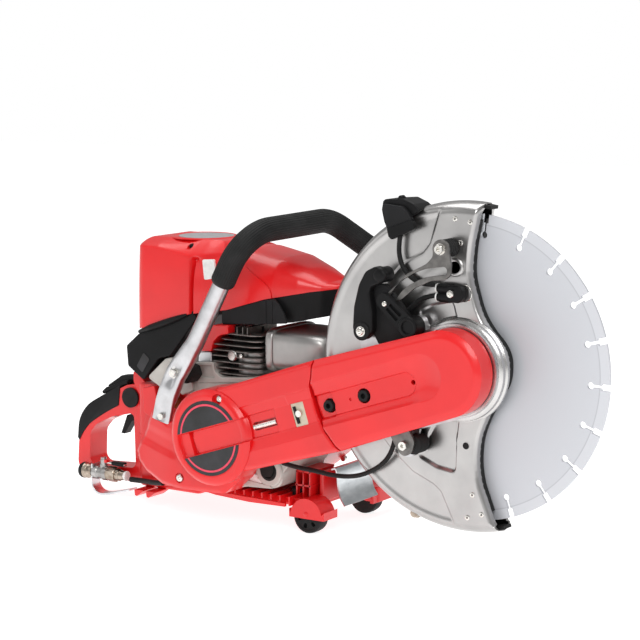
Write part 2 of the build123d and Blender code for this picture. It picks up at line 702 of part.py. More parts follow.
front_handle_tube = handle_bar(tube_route, tube_radii, tube_radius, tube_radius - tube_wall)
front_handle_tube.part.label = "front_handle_tube"
export_step(front_handle_tube.part, "parts/front_handle_tube.step")

leg_line = Vector(*grip_corners[0]) - Vector(*leg_knee)
grip_from = Vector(*grip_corners[0]) - leg_line * 0.34
far_line = Vector(*far_corner) - Vector(*grip_corners[1])
grip_to = Vector(*grip_corners[1]) + far_line * 0.62
grip_route = [tuple(grip_from), *grip_corners, tuple(grip_to)]
front_handle_grip = handle_bar(grip_route, tube_radii[1:3], tube_radius + grip_thickness,
                               tube_radius + running_gap)
front_handle_grip.part.label = "front_handle_grip"
export_step(front_handle_grip.part, "parts/front_handle_grip.step")

# ---------------------------------------------------------------- water inlet
valve_y = 14.0
valve_z = -91.0
inlet_mouth = -272.0
valve_end = -190.0
with BuildPart() as water_valve:
    with BuildSketch(level(valve_z)):
        with BuildLine():
            Polyline((inlet_mouth, valve_y), (inlet_mouth, valve_y + 11), (-258, valve_y + 11),
                     (-258, valve_y + 8), (-248, valve_y + 8), (-248, valve_y + 10),
                     (-226, valve_y + 10), (-226, valve_y + 8), (-222, valve_y + 11),
                     (-208, valve_y + 11), (-200, valve_y + 6), (valve_end, valve_y + 5),
                     (valve_end, valve_y), close=True)
        make_face()
    revolve(axis=Axis(at(0, valve_y, valve_z), (1, 0, 0)))
    upright(-237, valve_y, valve_z, valve_z + 17, 5)
    with BuildSketch(Plane(origin=at(inlet_mouth, valve_y, valve_z), z_dir=(1, 0, 0))):
        Circle(6)
    extrude(amount=16, mode=Mode.SUBTRACT)
water_valve.part.label = "water_valve"
export_step(water_valve.part, "parts/water_valve.step")

lever_z = valve_z + 17
with BuildPart() as valve_lever:
    block(-243, -231, valve_y - 6, valve_y + 6, lever_z, lever_z + 3)
    block(-231, -200, valve_y - 4, valve_y + 4, lever_z, lever_z + 3)
valve_lever.part.label = "valve_lever"
export_step(valve_lever.part, "parts/valve_lever.step")

with BuildPart() as valve_bracket:
    slab(side, [(-252, valve_z - 10.5), (-252, floor_z), (-222, floor_z), (-186.5, -103), (-186.5, -99.5),
                (-189, -100), (-224, floor_z + 3.5), (-248.5, floor_z + 3.5), (-248.5, valve_z - 10.5)],
         valve_y - 8, valve_y + 10)
valve_bracket.part.label = "valve_bracket"
export_step(valve_bracket.part, "parts/valve_bracket.step")

inlet_route = [(valve_end, valve_y, valve_z), (-172, 12, -90), (-152, 2, -87), (-133, -10, -84), (-112, -18, -80)]
inlet_hose = tube_along(inlet_route, "inlet_hose", hose_radius)
inlet_hose.part.label = "inlet_hose"
export_step(inlet_hose.part, "parts/inlet_hose.step")

arm_hose_y = -29.5
arm_hose_route = [(80, arm_hose_y, -29), (98, arm_hose_y, -32), (126, arm_hose_y, -33), (156, arm_hose_y, -36),
                  (186, arm_hose_y, -33), (211, arm_hose_y, -22), (230, arm_hose_y, -6), (239, arm_hose_y, 16),
                  (240, arm_hose_y, 30)]
arm_hose = tube_along(arm_hose_route, "arm_hose", arm_hose_radius)
arm_hose.part.label = "arm_hose"
export_step(arm_hose.part, "parts/arm_hose.step")

# ---------------------------------------------------------------- guard
front_edge = [(25, guard_radius + 10), (18, 172), (9, 132), (22, 75), (52, 32), (60, 0), (45, -34), (25, -82),
              (27, -133), (46, -179), (52, -guard_radius - 10)]


def guard_shell(sign, hub):
    """Half of the pressed guard: a disc with a rounded rim, open in front of the edge."""
    face = sign * guard_half_width
    inside = face - sign * guard_sheet
    plane = Plane(origin=(spindle_x, blade_y, spindle_z), x_dir=(0, 1, 0), z_dir=(1, 0, 0))
    with BuildPart() as shell:
        with BuildSketch(plane):
            with BuildLine():
                outer = FilletPolyline((face, hub), (face, guard_radius), (0, guard_radius),
                                       radius=guard_shoulder)
                inner = FilletPolyline((0, guard_radius - guard_sheet), (inside, guard_radius - guard_sheet),
                                       (inside, hub), radius=guard_shoulder - guard_sheet)
                Line(outer @ 1, inner @ 0)
                Line(inner @ 1, outer @ 0)
            make_face()
        revolve(axis=Axis((spindle_x, blade_y, spindle_z), (0, 1, 0)))
        with BuildSketch(blade_side(guard_half_width + 1)):
            with BuildLine():
                edge = Spline(*front_edge)
                Polyline(edge @ 1, (guard_radius + 20, -guard_radius - 10),
                         (guard_radius + 20, guard_radius + 10), edge @ 0)
            make_face()
        extrude(amount=2 * guard_half_width + 2, mode=Mode.SUBTRACT)
    return shell


near_shell = guard_shell(-1, housing_radius + running_gap)
with BuildPart() as guard_near_shell:
    add(near_shell.part)
    ring(blade_side, 0, 0, arm_far + free_gap, -guard_half_width, hub_ring_radius - 2,
         housing_radius + running_gap)
    bar(blade_side, 6, -88, -guard_half_width, -guard_half_width + guard_sheet, 4, mode=Mode.SUBTRACT)
guard_near_shell.part.label = "guard_near_shell"
export_step(guard_near_shell.part, "parts/guard_near_shell.step")

guard_far_shell = guard_shell(1, flange_radius + 10)
guard_far_shell.part.label = "guard_far_shell"
export_step(guard_far_shell.part, "parts/guard_far_shell.step")

with BuildPart() as guard_liner:
    ring(blade_side, 0, 0, -8.5, 8.5, guard_radius - guard_sheet - 0.2, guard_radius - guard_sheet - 4)
    with BuildSketch(blade_side(10)):
        with BuildLine():
            Polyline((32, guard_radius + 10), (20, 100), (60, 0), (30, -100), (58, -guard_radius - 10),
                     (guard_radius + 20, -guard_radius - 10), (guard_radius + 20, guard_radius + 10),
                     close=True)
        make_face()
    extrude(amount=20, mode=Mode.SUBTRACT)
guard_liner.part.label = "guard_liner"
export_step(guard_liner.part, "parts/guard_liner.step")

handle_angle = 114.0
handle_foot = guard_radius - 41
handle_tip = guard_radius + 14
with BuildPart() as guard_handle:
    spoke = Plane(origin=(spindle_x, blade_y + 8, spindle_z),
                  x_dir=(cos(radians(handle_angle)), 0, sin(radians(handle_angle))), z_dir=(0, -1, 0))
    with BuildSketch(spoke):
        with BuildLine():
            Polyline((handle_foot, -12), (handle_tip, -19), (handle_tip, 19), (handle_foot, 12), close=True)
        make_face()
    extrude(amount=8 + guard_half_width + 12)
    bar(blade_side, 0, 0, -guard_half_width, 10, guard_radius + free_gap / 2, mode=Mode.SUBTRACT)
guard_handle.part.label = "guard_handle"
export_step(guard_handle.part, "parts/guard_handle.step")

link_near = -40.0
link_far = -37.0
link_bolt = (-22, 137)
with BuildPart() as guard_link:
    hull(blade_side, [(*link_bolt, 14), (-14, 112, 10)], link_near, link_far)
    hull(blade_side, [(-14, 112, 10), (-45, 98, 11)], link_near, link_far)
    hull(blade_side, [(-45, 98, 11), (-70, 78, 9)], link_near, link_far)
    hull(blade_side, [(-20, 108, 3), (-44, 98, 3)], link_near, link_far, mode=Mode.SUBTRACT)
    bar(blade_side, *link_bolt, link_near - 5, -guard_half_width, 7)
guard_link.part.label = "guard_link"
export_step(guard_link.part, "parts/guard_link.step")

with BuildPart() as guard_clamp:
    hull(blade_side, [(-83, 86, 6), (*clamp_eye, 8)], -51, -41)
    bar(blade_side, *clamp_eye, -52, -40.5, 10)
guard_clamp.part.label = "guard_clamp"
export_step(guard_clamp.part, "parts/guard_clamp.step")

with BuildPart() as guard_lever:
    hull(blade_side, [(*lever_pivot, 12), (-112, 76, 8)], -52, -41)
    hull(blade_side, [(-112, 76, 8), (-104, 104, 7)], -52, -41)
    hull(blade_side, [(-104, 104, 7), (-86, 110, 6)], -52, -41)
guard_lever.part.label = "guard_lever"
export_step(guard_lever.part, "parts/guard_lever.step")

manifold_y = -29.0
with BuildPart() as water_manifold:
    bar(blade_side, -4, 90, -37, -guard_half_width, 8)
    hull(blade_side, [(-22, 96, 4.5), (0, 93, 5)], manifold_y - 5, manifold_y + 5)
    hull(blade_side, [(-22, 84, 4.5), (0, 88, 5)], manifold_y - 5, manifold_y + 5)
water_manifold.part.label = "water_manifold"
export_step(water_manifold.part, "parts/water_manifold.step")


def from_spindle(x, y, z):
    """Point given from the spindle, as a point given from the crank axis."""
    return (x + spindle_x - crank_x, y, z + spindle_z - crank_z)


upper_hose_route = [from_spindle(*p) for p in (
    (-75, -28, 158), (-79, -27.5, 140), (-78, -27, 122), (-70, -27, 107), (-56, -27.5, 98), (-40, -28, 95),
    (-26, manifold_y, 96))]
lower_hose_route = [from_spindle(*p) for p in (
    (-26, manifold_y, 84), (-40, -28.5, 82), (-54, -28.5, 75), (-66, -28.5, 62))]
upper_hose = tube_along(upper_hose_route, "guard hose, upper", arm_hose_radius)
lower_hose = tube_along(lower_hose_route, "guard hose, lower", arm_hose_radius)
with BuildPart() as guard_hoses:
    add(upper_hose.part)
    add(lower_hose.part)
guard_hoses.part.label = "guard_hoses"
export_step(guard_hoses.part, "parts/guard_hoses.step")

# ---------------------------------------------------------------- fasteners of the frame
with BuildPart() as fasteners:
    for x, z in nut_places:
        with BuildSketch(arm_side(-59)):
            with Locations((x, z)):
                RegularPolygon(8.5, 6)
                Circle(3.5, mode=Mode.SUBTRACT)
        extrude(amount=8)
        bar(arm_side, x, z, -59, arm_near, 5)
    bar(side, *foot_bolt, -66, -61.2, 7)
    for near in (near_wheel_y - 4, near_wheel_y + wheel_spacing - 4):
        bar(side, axle_x, axle_z, near, near + wheel_width + 8, axle_radius)
fasteners.part.label = "fasteners"
export_step(fasteners.part, "parts/fasteners.step")
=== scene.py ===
import bmesh
import bpy
import json
import math
import numpy as np
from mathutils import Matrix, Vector


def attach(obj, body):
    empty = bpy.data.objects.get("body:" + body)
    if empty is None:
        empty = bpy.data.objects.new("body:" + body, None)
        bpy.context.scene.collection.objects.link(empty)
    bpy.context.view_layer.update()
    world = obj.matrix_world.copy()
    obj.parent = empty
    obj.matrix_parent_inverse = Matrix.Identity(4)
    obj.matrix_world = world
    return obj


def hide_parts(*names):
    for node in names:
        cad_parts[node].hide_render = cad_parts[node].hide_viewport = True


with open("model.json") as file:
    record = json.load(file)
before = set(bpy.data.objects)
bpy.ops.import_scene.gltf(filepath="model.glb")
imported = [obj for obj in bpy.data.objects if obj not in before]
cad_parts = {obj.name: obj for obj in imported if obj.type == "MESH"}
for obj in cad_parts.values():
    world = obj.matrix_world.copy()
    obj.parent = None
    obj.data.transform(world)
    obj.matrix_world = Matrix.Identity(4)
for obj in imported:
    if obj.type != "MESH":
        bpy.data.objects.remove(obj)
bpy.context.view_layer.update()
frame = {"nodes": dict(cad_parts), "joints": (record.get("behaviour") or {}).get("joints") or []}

# datums: everything below is in millimetres from the blade's spindle
joints = {joint["name"]: joint for joint in frame["joints"]}
spindle = np.array(joints["blade_spin"]["pos_m"]) * 1000
crank = np.array(joints["clutch_drum_spin"]["pos_m"]) * 1000 - spindle
armLength = math.hypot(crank[0], crank[2])
armUnit = np.array([-crank[0], -crank[2]]) / armLength
mm = 0.001


def place(x, y, z):  # row frame point, in metres
    return Vector((spindle[0] + x, spindle[1] + y, spindle[2] + z)) * mm


def armPoint(along, across):  # x and z of a point given along and across the belt arm
    x = crank[0] + along * armUnit[0] - across * armUnit[1]
    z = crank[2] + along * armUnit[1] + across * armUnit[0]
    return x, z


# camera
cameraView = {"azimuth": 33.707, "elevation": 8.204, "lens": 116.28, "place": (1151.4, -2034.1, 390.5)}
cameraData = bpy.data.cameras.new("viewCamera")
cameraData.lens = cameraView["lens"]
cameraData.sensor_width = 36
cameraData.clip_end = 50
camera = bpy.data.objects.new("viewCamera", cameraData)
bpy.context.scene.collection.objects.link(camera)
camera.location = place(*cameraView["place"])
camera.rotation_euler = (math.radians(90 - cameraView["elevation"]), 0, math.radians(cameraView["azimuth"]))
bpy.context.scene.camera = camera


# materials
def newMaterial(name, colour, roughness, metallic=0.0, coat=0.0, coatRoughness=0.08, specular=0.5):
    material = bpy.data.materials.new(name)
    material.use_nodes = True
    shader = material.node_tree.nodes["Principled BSDF"]
    shader.inputs["Base Color"].default_value = (*colour, 1)
    shader.inputs["Roughness"].default_value = roughness
    shader.inputs["Metallic"].default_value = metallic
    shader.inputs["Coat Weight"].default_value = coat
    shader.inputs["Coat Roughness"].default_value = coatRoughness
    shader.inputs["Specular IOR Level"].default_value = specular
    return material


def addNode(material, kind, **values):
    node = material.node_tree.nodes.new(kind)
    for key, value in values.items():
        if key in node.inputs:
            node.inputs[key].default_value = value
        else:
            setattr(node, key, value)
    return node


def join(material, fromNode, fromSocket, toNode, toSocket):
    material.node_tree.links.new(fromNode.outputs[fromSocket], toNode.inputs[toSocket])


def stretchedNoise(material, scale, stretch, detail=4.0):  # noise in the object's own space
    coordinates = addNode(material, "ShaderNodeTexCoord")
    mapping = addNode(material, "ShaderNodeMapping")
    mapping.inputs["Scale"].default_value = stretch
    noiseNode = addNode(material, "ShaderNodeTexNoise", Scale=scale, Detail=detail)
    join(material, coordinates, "Object", mapping, "Vector")
    join(material, mapping, "Vector", noiseNode, "Vector")
    return noiseNode


def varyColour(material, noiseNode, dark, light, low=0.3, high=0.7):
    ramp = addNode(material, "ShaderNodeValToRGB")
    ramp.color_ramp.elements[0].position = low
    ramp.color_ramp.elements[0].color = (*dark, 1)
    ramp.color_ramp.elements[1].position = high
    ramp.color_ramp.elements[1].color = (*light, 1)
    join(material, noiseNode, "Fac", ramp, "Fac")
    join(material, ramp, "Color", material.node_tree.nodes["Principled BSDF"], "Base Color")
    return ramp


def varyRoughness(material, noiseNode, low, high):
    spread = addNode(material, "ShaderNodeMapRange")
    spread.inputs["To Min"].default_value = low
    spread.inputs["To Max"].default_value = high
    join(material, noiseNode, "Fac", spread, "Value")
    join(material, spread, "Result", material.node_tree.nodes["Principled BSDF"], "Roughness")


def addBump(material, noiseNode, strength, distance=0.0005):
    bump = addNode(material, "ShaderNodeBump", Strength=strength, Distance=distance)
    join(material, noiseNode, "Fac", bump, "Height")
    join(material, bump, "Normal", material.node_tree.nodes["Principled BSDF"], "Normal")


def redGloss():  # moulded or painted red, a faint orange peel under a clear coat
    material = newMaterial("redGloss", (0.74, 0.006, 0.008), 0.34, coat=0.3, coatRoughness=0.10)
    broad = stretchedNoise(material, 14, (1, 1, 1))
    varyColour(material, broad, (0.70, 0.005, 0.007), (0.80, 0.008, 0.010))
    fine = stretchedNoise(material, 900, (1, 1, 1), 2)
    varyRoughness(material, broad, 0.28, 0.40)
    addBump(material, fine, 0.05, 0.0002)
    return material


def blackPlastic(name="blackPlastic", shade=0.008, roughness=0.38, grain=0.08):
    material = newMaterial(name, (shade, shade, shade * 1.08), roughness, specular=0.14)
    broad = stretchedNoise(material, 30, (1, 1, 1))
    varyColour(material, broad, (shade * 0.8,) * 3, (shade * 1.3, shade * 1.3, shade * 1.4))
    varyRoughness(material, broad, roughness - 0.08, roughness + 0.08)
    addBump(material, stretchedNoise(material, 2200, (1, 1, 1), 3), grain, 0.0003)
    return material


def rubber(name="rubberBlack", shade=0.012):
    material = newMaterial(name, (shade, shade, shade), 0.58, specular=0.2)
    broad = stretchedNoise(material, 45, (1, 1, 1))
    varyColour(material, broad, (shade * 0.7,) * 3, (shade * 1.5,) * 3)
    varyRoughness(material, broad, 0.48, 0.68)
    addBump(material, stretchedNoise(material, 1600, (1, 1, 1), 4), 0.25, 0.0003)
    return material


def metal(name, dark, light, roughness, stretch=(1, 1, 1), scale=60, bump=0.05, spread=0.08, metallic=1.0):
    material = newMaterial(name, light, roughness, metallic=metallic)
    streaks = stretchedNoise(material, scale, stretch, 6)
    varyColour(material, streaks, dark, light)
    varyRoughness(material, streaks, roughness - spread, roughness + spread)
    addBump(material, streaks, bump, 0.0003)
    return material


def castPaint():  # light warm-grey painted casting, slightly pebbled
    material = newMaterial("castPaint", (0.50, 0.48, 0.44), 0.45, metallic=0.25)
    broad = stretchedNoise(material, 35, (1, 1, 1), 5)
    varyColour(material, broad, (0.42, 0.40, 0.37), (0.58, 0.56, 0.52))
    varyRoughness(material, broad, 0.36, 0.55)
    addBump(material, stretchedNoise(material, 700, (1, 1, 1), 3), 0.35, 0.0004)
    return material


def bladeFace():  # pale satin steel with faint turned rings, a lighter tip ring with a dark seam line, and painted shade darkening the face towards the centre
    material = newMaterial("bladeFace", (0.78, 0.79, 0.82), 0.42, metallic=0.25)
    coordinates = addNode(material, "ShaderNodeTexCoord")
    fromCentre = addNode(material, "ShaderNodeVectorMath", operation="SUBTRACT")
    fromCentre.inputs[1].default_value = tuple(spindle * mm)
    flat = addNode(material, "ShaderNodeVectorMath", operation="MULTIPLY")
    flat.inputs[1].default_value = (1, 0, 1)
    radius = addNode(material, "ShaderNodeVectorMath", operation="LENGTH")
    join(material, coordinates, "Object", fromCentre, 0)
    join(material, fromCentre, "Vector", flat, 0)
    join(material, flat, "Vector", radius, 0)
    rings = addNode(material, "ShaderNodeTexNoise", noise_dimensions="1D", Scale=900, Detail=3)
    join(material, radius, "Value", rings, "W")
    ramp = addNode(material, "ShaderNodeValToRGB")
    tipRing = 0.1655 / 0.2
    # painted shade: the ramp darkens the face from the rim in towards the centre, where the guard shades it; the dark
    # line and lighter band at the tip ring are the real segment seam and segments
    ringAndShadeStops = [(0.0, (0.50, 0.51, 0.54)), (tipRing - 0.004, (0.60, 0.615, 0.65)), (tipRing, (0.42, 0.43, 0.46)),
             (tipRing + 0.004, (0.64, 0.655, 0.69)), (1.0, (0.66, 0.67, 0.70))]
    ramp.color_ramp.elements[0].color = (*ringAndShadeStops[0][1], 1)
    ramp.color_ramp.elements[1].color = (*ringAndShadeStops[-1][1], 1)
    for position, colour in ringAndShadeStops[1:-1]:
        element = ramp.color_ramp.elements.new(position)
        element.color = (*colour, 1)
    scale = addNode(material, "ShaderNodeMath", operation="MULTIPLY")
    scale.inputs[1].default_value = 5.0
    join(material, radius, "Value", scale, 0)
    join(material, scale, "Value", ramp, "Fac")
    join(material, ramp, "Color", material.node_tree.nodes["Principled BSDF"], "Base Color")
    varyRoughness(material, rings, 0.38, 0.50)
    addBump(material, rings, 0.04, 0.0002)
    return material


finish = {
    "red": redGloss(),
    "black": blackPlastic(),
    "blackSoft": blackPlastic("blackSoft", 0.014, 0.5, 0.15),
    "rubber": rubber(),
    "grip": rubber("gripRubber", 0.014),
    "cast": castPaint(),
    "guard": metal("guardMetal", (0.44, 0.43, 0.425), (0.55, 0.54, 0.53), 0.30, (1, 1, 1), 24, 0.01, 0.04),
    "aluminium": metal("bareAluminium", (0.50, 0.50, 0.51), (0.64, 0.64, 0.655), 0.32, (1, 1, 1), 80, 0.04),
    "ring": metal("turnedRing", (0.56, 0.55, 0.54), (0.66, 0.65, 0.64), 0.26, (1, 1, 1), 40, 0.01),
    "steel": metal("steelPlain", (0.30, 0.29, 0.28), (0.52, 0.51, 0.50), 0.36, (1, 1, 1), 120, 0.08),
    "darkSteel": metal("linkSteel", (0.13, 0.125, 0.12), (0.24, 0.23, 0.22), 0.42, (1, 1, 1), 110, 0.08),
    "bolt": metal("boltZinc", (0.62, 0.60, 0.56), (0.86, 0.84, 0.80), 0.25, (1, 1, 1), 200, 0.05),
    "zinc": metal("zincSheet", (0.55, 0.58, 0.60), (0.78, 0.80, 0.82), 0.30, (1, 1, 3), 45, 0.05),
    "muffler": metal("mufflerSheet", (0.38, 0.37, 0.36), (0.50, 0.49, 0.475), 0.40, (1, 1, 1), 30, 0.05),
    "fins": metal("finMetal", (0.14, 0.13, 0.12), (0.34, 0.32, 0.30), 0.5, (1, 1, 1), 90, 0.2),
    "nickel": metal("nickelBrown", (0.28, 0.22, 0.17), (0.55, 0.48, 0.40), 0.32, (1, 1, 1), 150, 0.06),
    "blade": bladeFace(),
    "amber": newMaterial("amberBulb", (0.32, 0.06, 0.01), 0.2, coat=0.6),
    "badge": blackPlastic("badgeGrey", 0.045, 0.42, 0.05),
    "badgeLine": newMaterial("badgeLine", (0.80, 0.05, 0.10), 0.4),
    "label": newMaterial("labelWhite", (0.80, 0.80, 0.78), 0.42),
    "labelGrey": newMaterial("labelGrey", (0.36, 0.36, 0.37), 0.45),
    "windowBeige": newMaterial("windowBeige", (0.62, 0.55, 0.42), 0.5),
    "paper": newMaterial("filterPaper", (0.72, 0.68, 0.56), 0.8),
}
for key in ("amber", "badgeLine", "label", "labelGrey", "windowBeige", "paper"):  # light mottling
    shade = tuple(finish[key].node_tree.nodes["Principled BSDF"].inputs["Base Color"].default_value)[:3]
    mottle = stretchedNoise(finish[key], 160, (1, 1, 1))
    varyColour(finish[key], mottle, tuple(0.88 * s for s in shade), tuple(min(1, 1.08 * s) for s in shade))
    addBump(finish[key], mottle, 0.06)
print("materials ready")


# mesh helpers
def addPiece(name, points, faces, look, body, replaces=(), sharp=32.0):
    mesh = bpy.data.meshes.new(name)
    mesh.from_pydata([tuple(place(*p)) for p in points], [], [tuple(f) for f in faces])
    mesh.validate()
    mesh.update()
    mesh.shade_smooth()
    mesh.set_sharp_from_angle(angle=math.radians(sharp))
    mesh.materials.append(finish[look])
    piece = bpy.data.objects.new(name, mesh)
    bpy.context.scene.collection.objects.link(piece)
    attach(piece, body)
    if replaces:
        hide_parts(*replaces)
    return piece


def bevel(piece, width, segments=3, angle=30):
    modifier = piece.modifiers.new("bevel", "BEVEL")
    modifier.width = width * mm
    modifier.segments = segments
    modifier.limit_method = "ANGLE"
    modifier.angle_limit = math.radians(angle)
    modifier.harden_normals = True
    return piece


def thicken(piece, thickness, offset=-1):
    modifier = piece.modifiers.new("thickness", "SOLIDIFY")
    modifier.thickness = thickness * mm
    modifier.offset = offset
    return piece


def settle(piece):  # turns the modifiers into plain mesh
    bpy.context.view_layer.update()
    graph = bpy.context.evaluated_depsgraph_get()
    mesh = bpy.data.meshes.new_from_object(piece.evaluated_get(graph))
    piece.modifiers.clear()
    piece.data = mesh
    return piece


def cut(piece, tools):  # takes the tools' shapes out of the piece
    for tool in tools:
        modifier = piece.modifiers.new("cut", "BOOLEAN")
        modifier.operation = "DIFFERENCE"
        modifier.solver = "EXACT"
        modifier.object = tool
    settle(piece)
    for tool in tools:
        bpy.data.objects.remove(tool)
    piece.data.shade_smooth()
    piece.data.set_sharp_from_angle(angle=math.radians(32))
    return piece


def gridFaces(rows, columns, closeRows=False, closeColumns=False):
    faces = []
    for i in range(rows if closeRows else rows - 1):
        for j in range(columns if closeColumns else columns - 1):
            a, b = i * columns + j, i * columns + (j + 1) % columns
            c, d = ((i + 1) % rows) * columns + (j + 1) % columns, ((i + 1) % rows) * columns + j
            faces.append((a, b, c, d))
    return faces


def smoothStep(low, high, value):
    t = np.clip((np.asarray(value, float) - low) / (high - low), 0, 1)
    return t * t * (3 - 2 * t)


def roundCorners(corners, radius, steps=6, closed=True):  # outline with tangent arcs at its corners
    count = len(corners)
    radii = radius if isinstance(radius, (list, tuple)) else [radius] * count
    outline = []
    for i in range(count):
        here = np.array(corners[i], float)
        if not closed and i in (0, count - 1):
            outline.append(here)
            continue
        before, after = np.array(corners[i - 1], float), np.array(corners[(i + 1) % count], float)
        u, v = before - here, after - here
        lu, lv = np.linalg.norm(u), np.linalg.norm(v)
        u, v = u / lu, v / lv
        half = math.acos(np.clip(np.dot(u, v), -1, 1)) / 2
        if radii[i] <= 0 or abs(half - math.pi / 2) < 1e-3:
            outline.append(here)
            continue
        reach = min(radii[i] / math.tan(half), 0.49 * lu, 0.49 * lv)
        bend = reach * math.tan(half)
        centre = here + (u + v) / np.linalg.norm(u + v) * (bend / math.sin(half))
        start, end = here + u * reach - centre, here + v * reach - centre
        turn = math.acos(np.clip(np.dot(start, end) / bend ** 2, -1, 1))
        for k in range(steps + 1):
            t = k / steps
            a, b = math.sin((1 - t) * turn) / math.sin(turn), math.sin(t * turn) / math.sin(turn)
            outline.append(centre + start * a + end * b)
    return np.array(outline)


def plate(name, outline, near, far, look, body, edge=0.8, segments=3, replaces=(), radius=0.0):
    outline = roundCorners(outline, radius) if radius else np.array(outline, float)
    count = len(outline)
    points = [(x, near, z) for x, z in outline] + [(x, far, z) for x, z in outline]
    faces = [(i, (i + 1) % count, count + (i + 1) % count, count + i) for i in range(count)]
    area = sum(outline[i][0] * outline[(i + 1) % count][1] - outline[(i + 1) % count][0] * outline[i][1]
               for i in range(count))
    caps = [list(range(count)), list(range(2 * count - 1, count - 1, -1))]
    if area < 0:  # the outline runs the other way round
        faces = [face[::-1] for face in faces]
        caps = [cap[::-1] for cap in caps]
    piece = addPiece(name, points, [face[::-1] for face in faces] + caps, look, body, replaces)
    if edge:
        bevel(piece, edge, segments)
    return piece


def lathe(name, profile, centre, look, body, sides=64, replaces=(), axis="y", sharp=32.0):
    # profile is (place along the axis, radius); a closed band where its two ends are apart
    points = []
    angles = np.linspace(0, 2 * math.pi, sides, endpoint=False)
    for along, radius in profile:
        for angle in angles:
            c, s = radius * math.cos(angle), radius * math.sin(angle)
            if axis == "y":
                points.append((centre[0] + c, along, centre[1] + s))
            elif axis == "z":
                points.append((centre[0] + c, centre[1] - s, along))
            else:
                points.append((along, centre[0] + s, centre[1] + c))
    rows = len(profile)
    faces = gridFaces(rows, sides, False, True)
    faces.append(list(range(sides))[::-1])
    faces.append(list(range((rows - 1) * sides, rows * sides)))
    return addPiece(name, points, [f[::-1] for f in faces], look, body, replaces, sharp)


def frames(path):  # cross directions along a path, carried along it without twisting
    path = np.array(path, float)
    tangents = np.gradient(path, axis=0)
    tangents /= np.linalg.norm(tangents, axis=1)[:, None]
    normal = np.cross(tangents[0], (0, 0, 1.0))
    if np.linalg.norm(normal) < 1e-3:
        normal = np.cross(tangents[0], (0, 1.0, 0))
    normals = []
    for tangent in tangents:
        normal = normal - tangent * np.dot(normal, tangent)
        normal = normal / np.linalg.norm(normal)
        normals.append(normal)
    normals = np.array(normals)
    return path, normals, np.cross(tangents, normals)


def sweep(name, path, section, look, body, replaces=(), sharp=50.0):
    # section(share along) gives the two cross offsets
    path, normals, sides = frames(path)
    rows = len(path)
    points = []
    for i in range(rows):
        u, v = section(i / (rows - 1))
        points.extend(path[i] + np.outer(u, normals[i]) + np.outer(v, sides[i]))
    columns = len(points) // rows
    faces = gridFaces(rows, columns, False, True)
    faces.append(list(range(columns))[::-1])
    faces.append(list(range((rows - 1) * columns, rows * columns)))
    return addPiece(name, points, faces, look, body, replaces, sharp)


def roundSection(radius, sides=24):
    angles = np.linspace(0, 2 * math.pi, sides, endpoint=False)
    return lambda share: (radius * np.cos(angles), radius * np.sin(angles))


def dense(path, step=2.0):  # evenly spaced points along a path
    path = np.array(path, float)
    lengths = np.concatenate([[0], np.cumsum(np.linalg.norm(np.diff(path, axis=0), axis=1))])
    count = max(2, int(lengths[-1] / step) + 1)
    where = np.linspace(0, lengths[-1], count)
    return np.stack([np.interp(where, lengths, path[:, k]) for k in range(3)], axis=1)


def edgeDistance(outline, x, z):  # distance from points to a closed outline
    outline = np.array(outline, float)
    best = np.full(np.shape(x), 1e9)
    for a, b in zip(outline, np.roll(outline, -1, axis=0)):
        ab = b - a
        t = np.clip(((x - a[0]) * ab[0] + (z - a[1]) * ab[1]) / max(ab @ ab, 1e-9), 0, 1)
        best = np.minimum(best, np.hypot(x - a[0] - t * ab[0], z - a[1] - t * ab[1]))
    return best


def segmentDistance(a, b, x, z):
    a, b = np.array(a, float), np.array(b, float)
    ab = b - a
    t = np.clip(((x - a[0]) * ab[0] + (z - a[1]) * ab[1]) / (ab @ ab), 0, 1)
    return np.hypot(x - a[0] - t * ab[0], z - a[1] - t * ab[1])


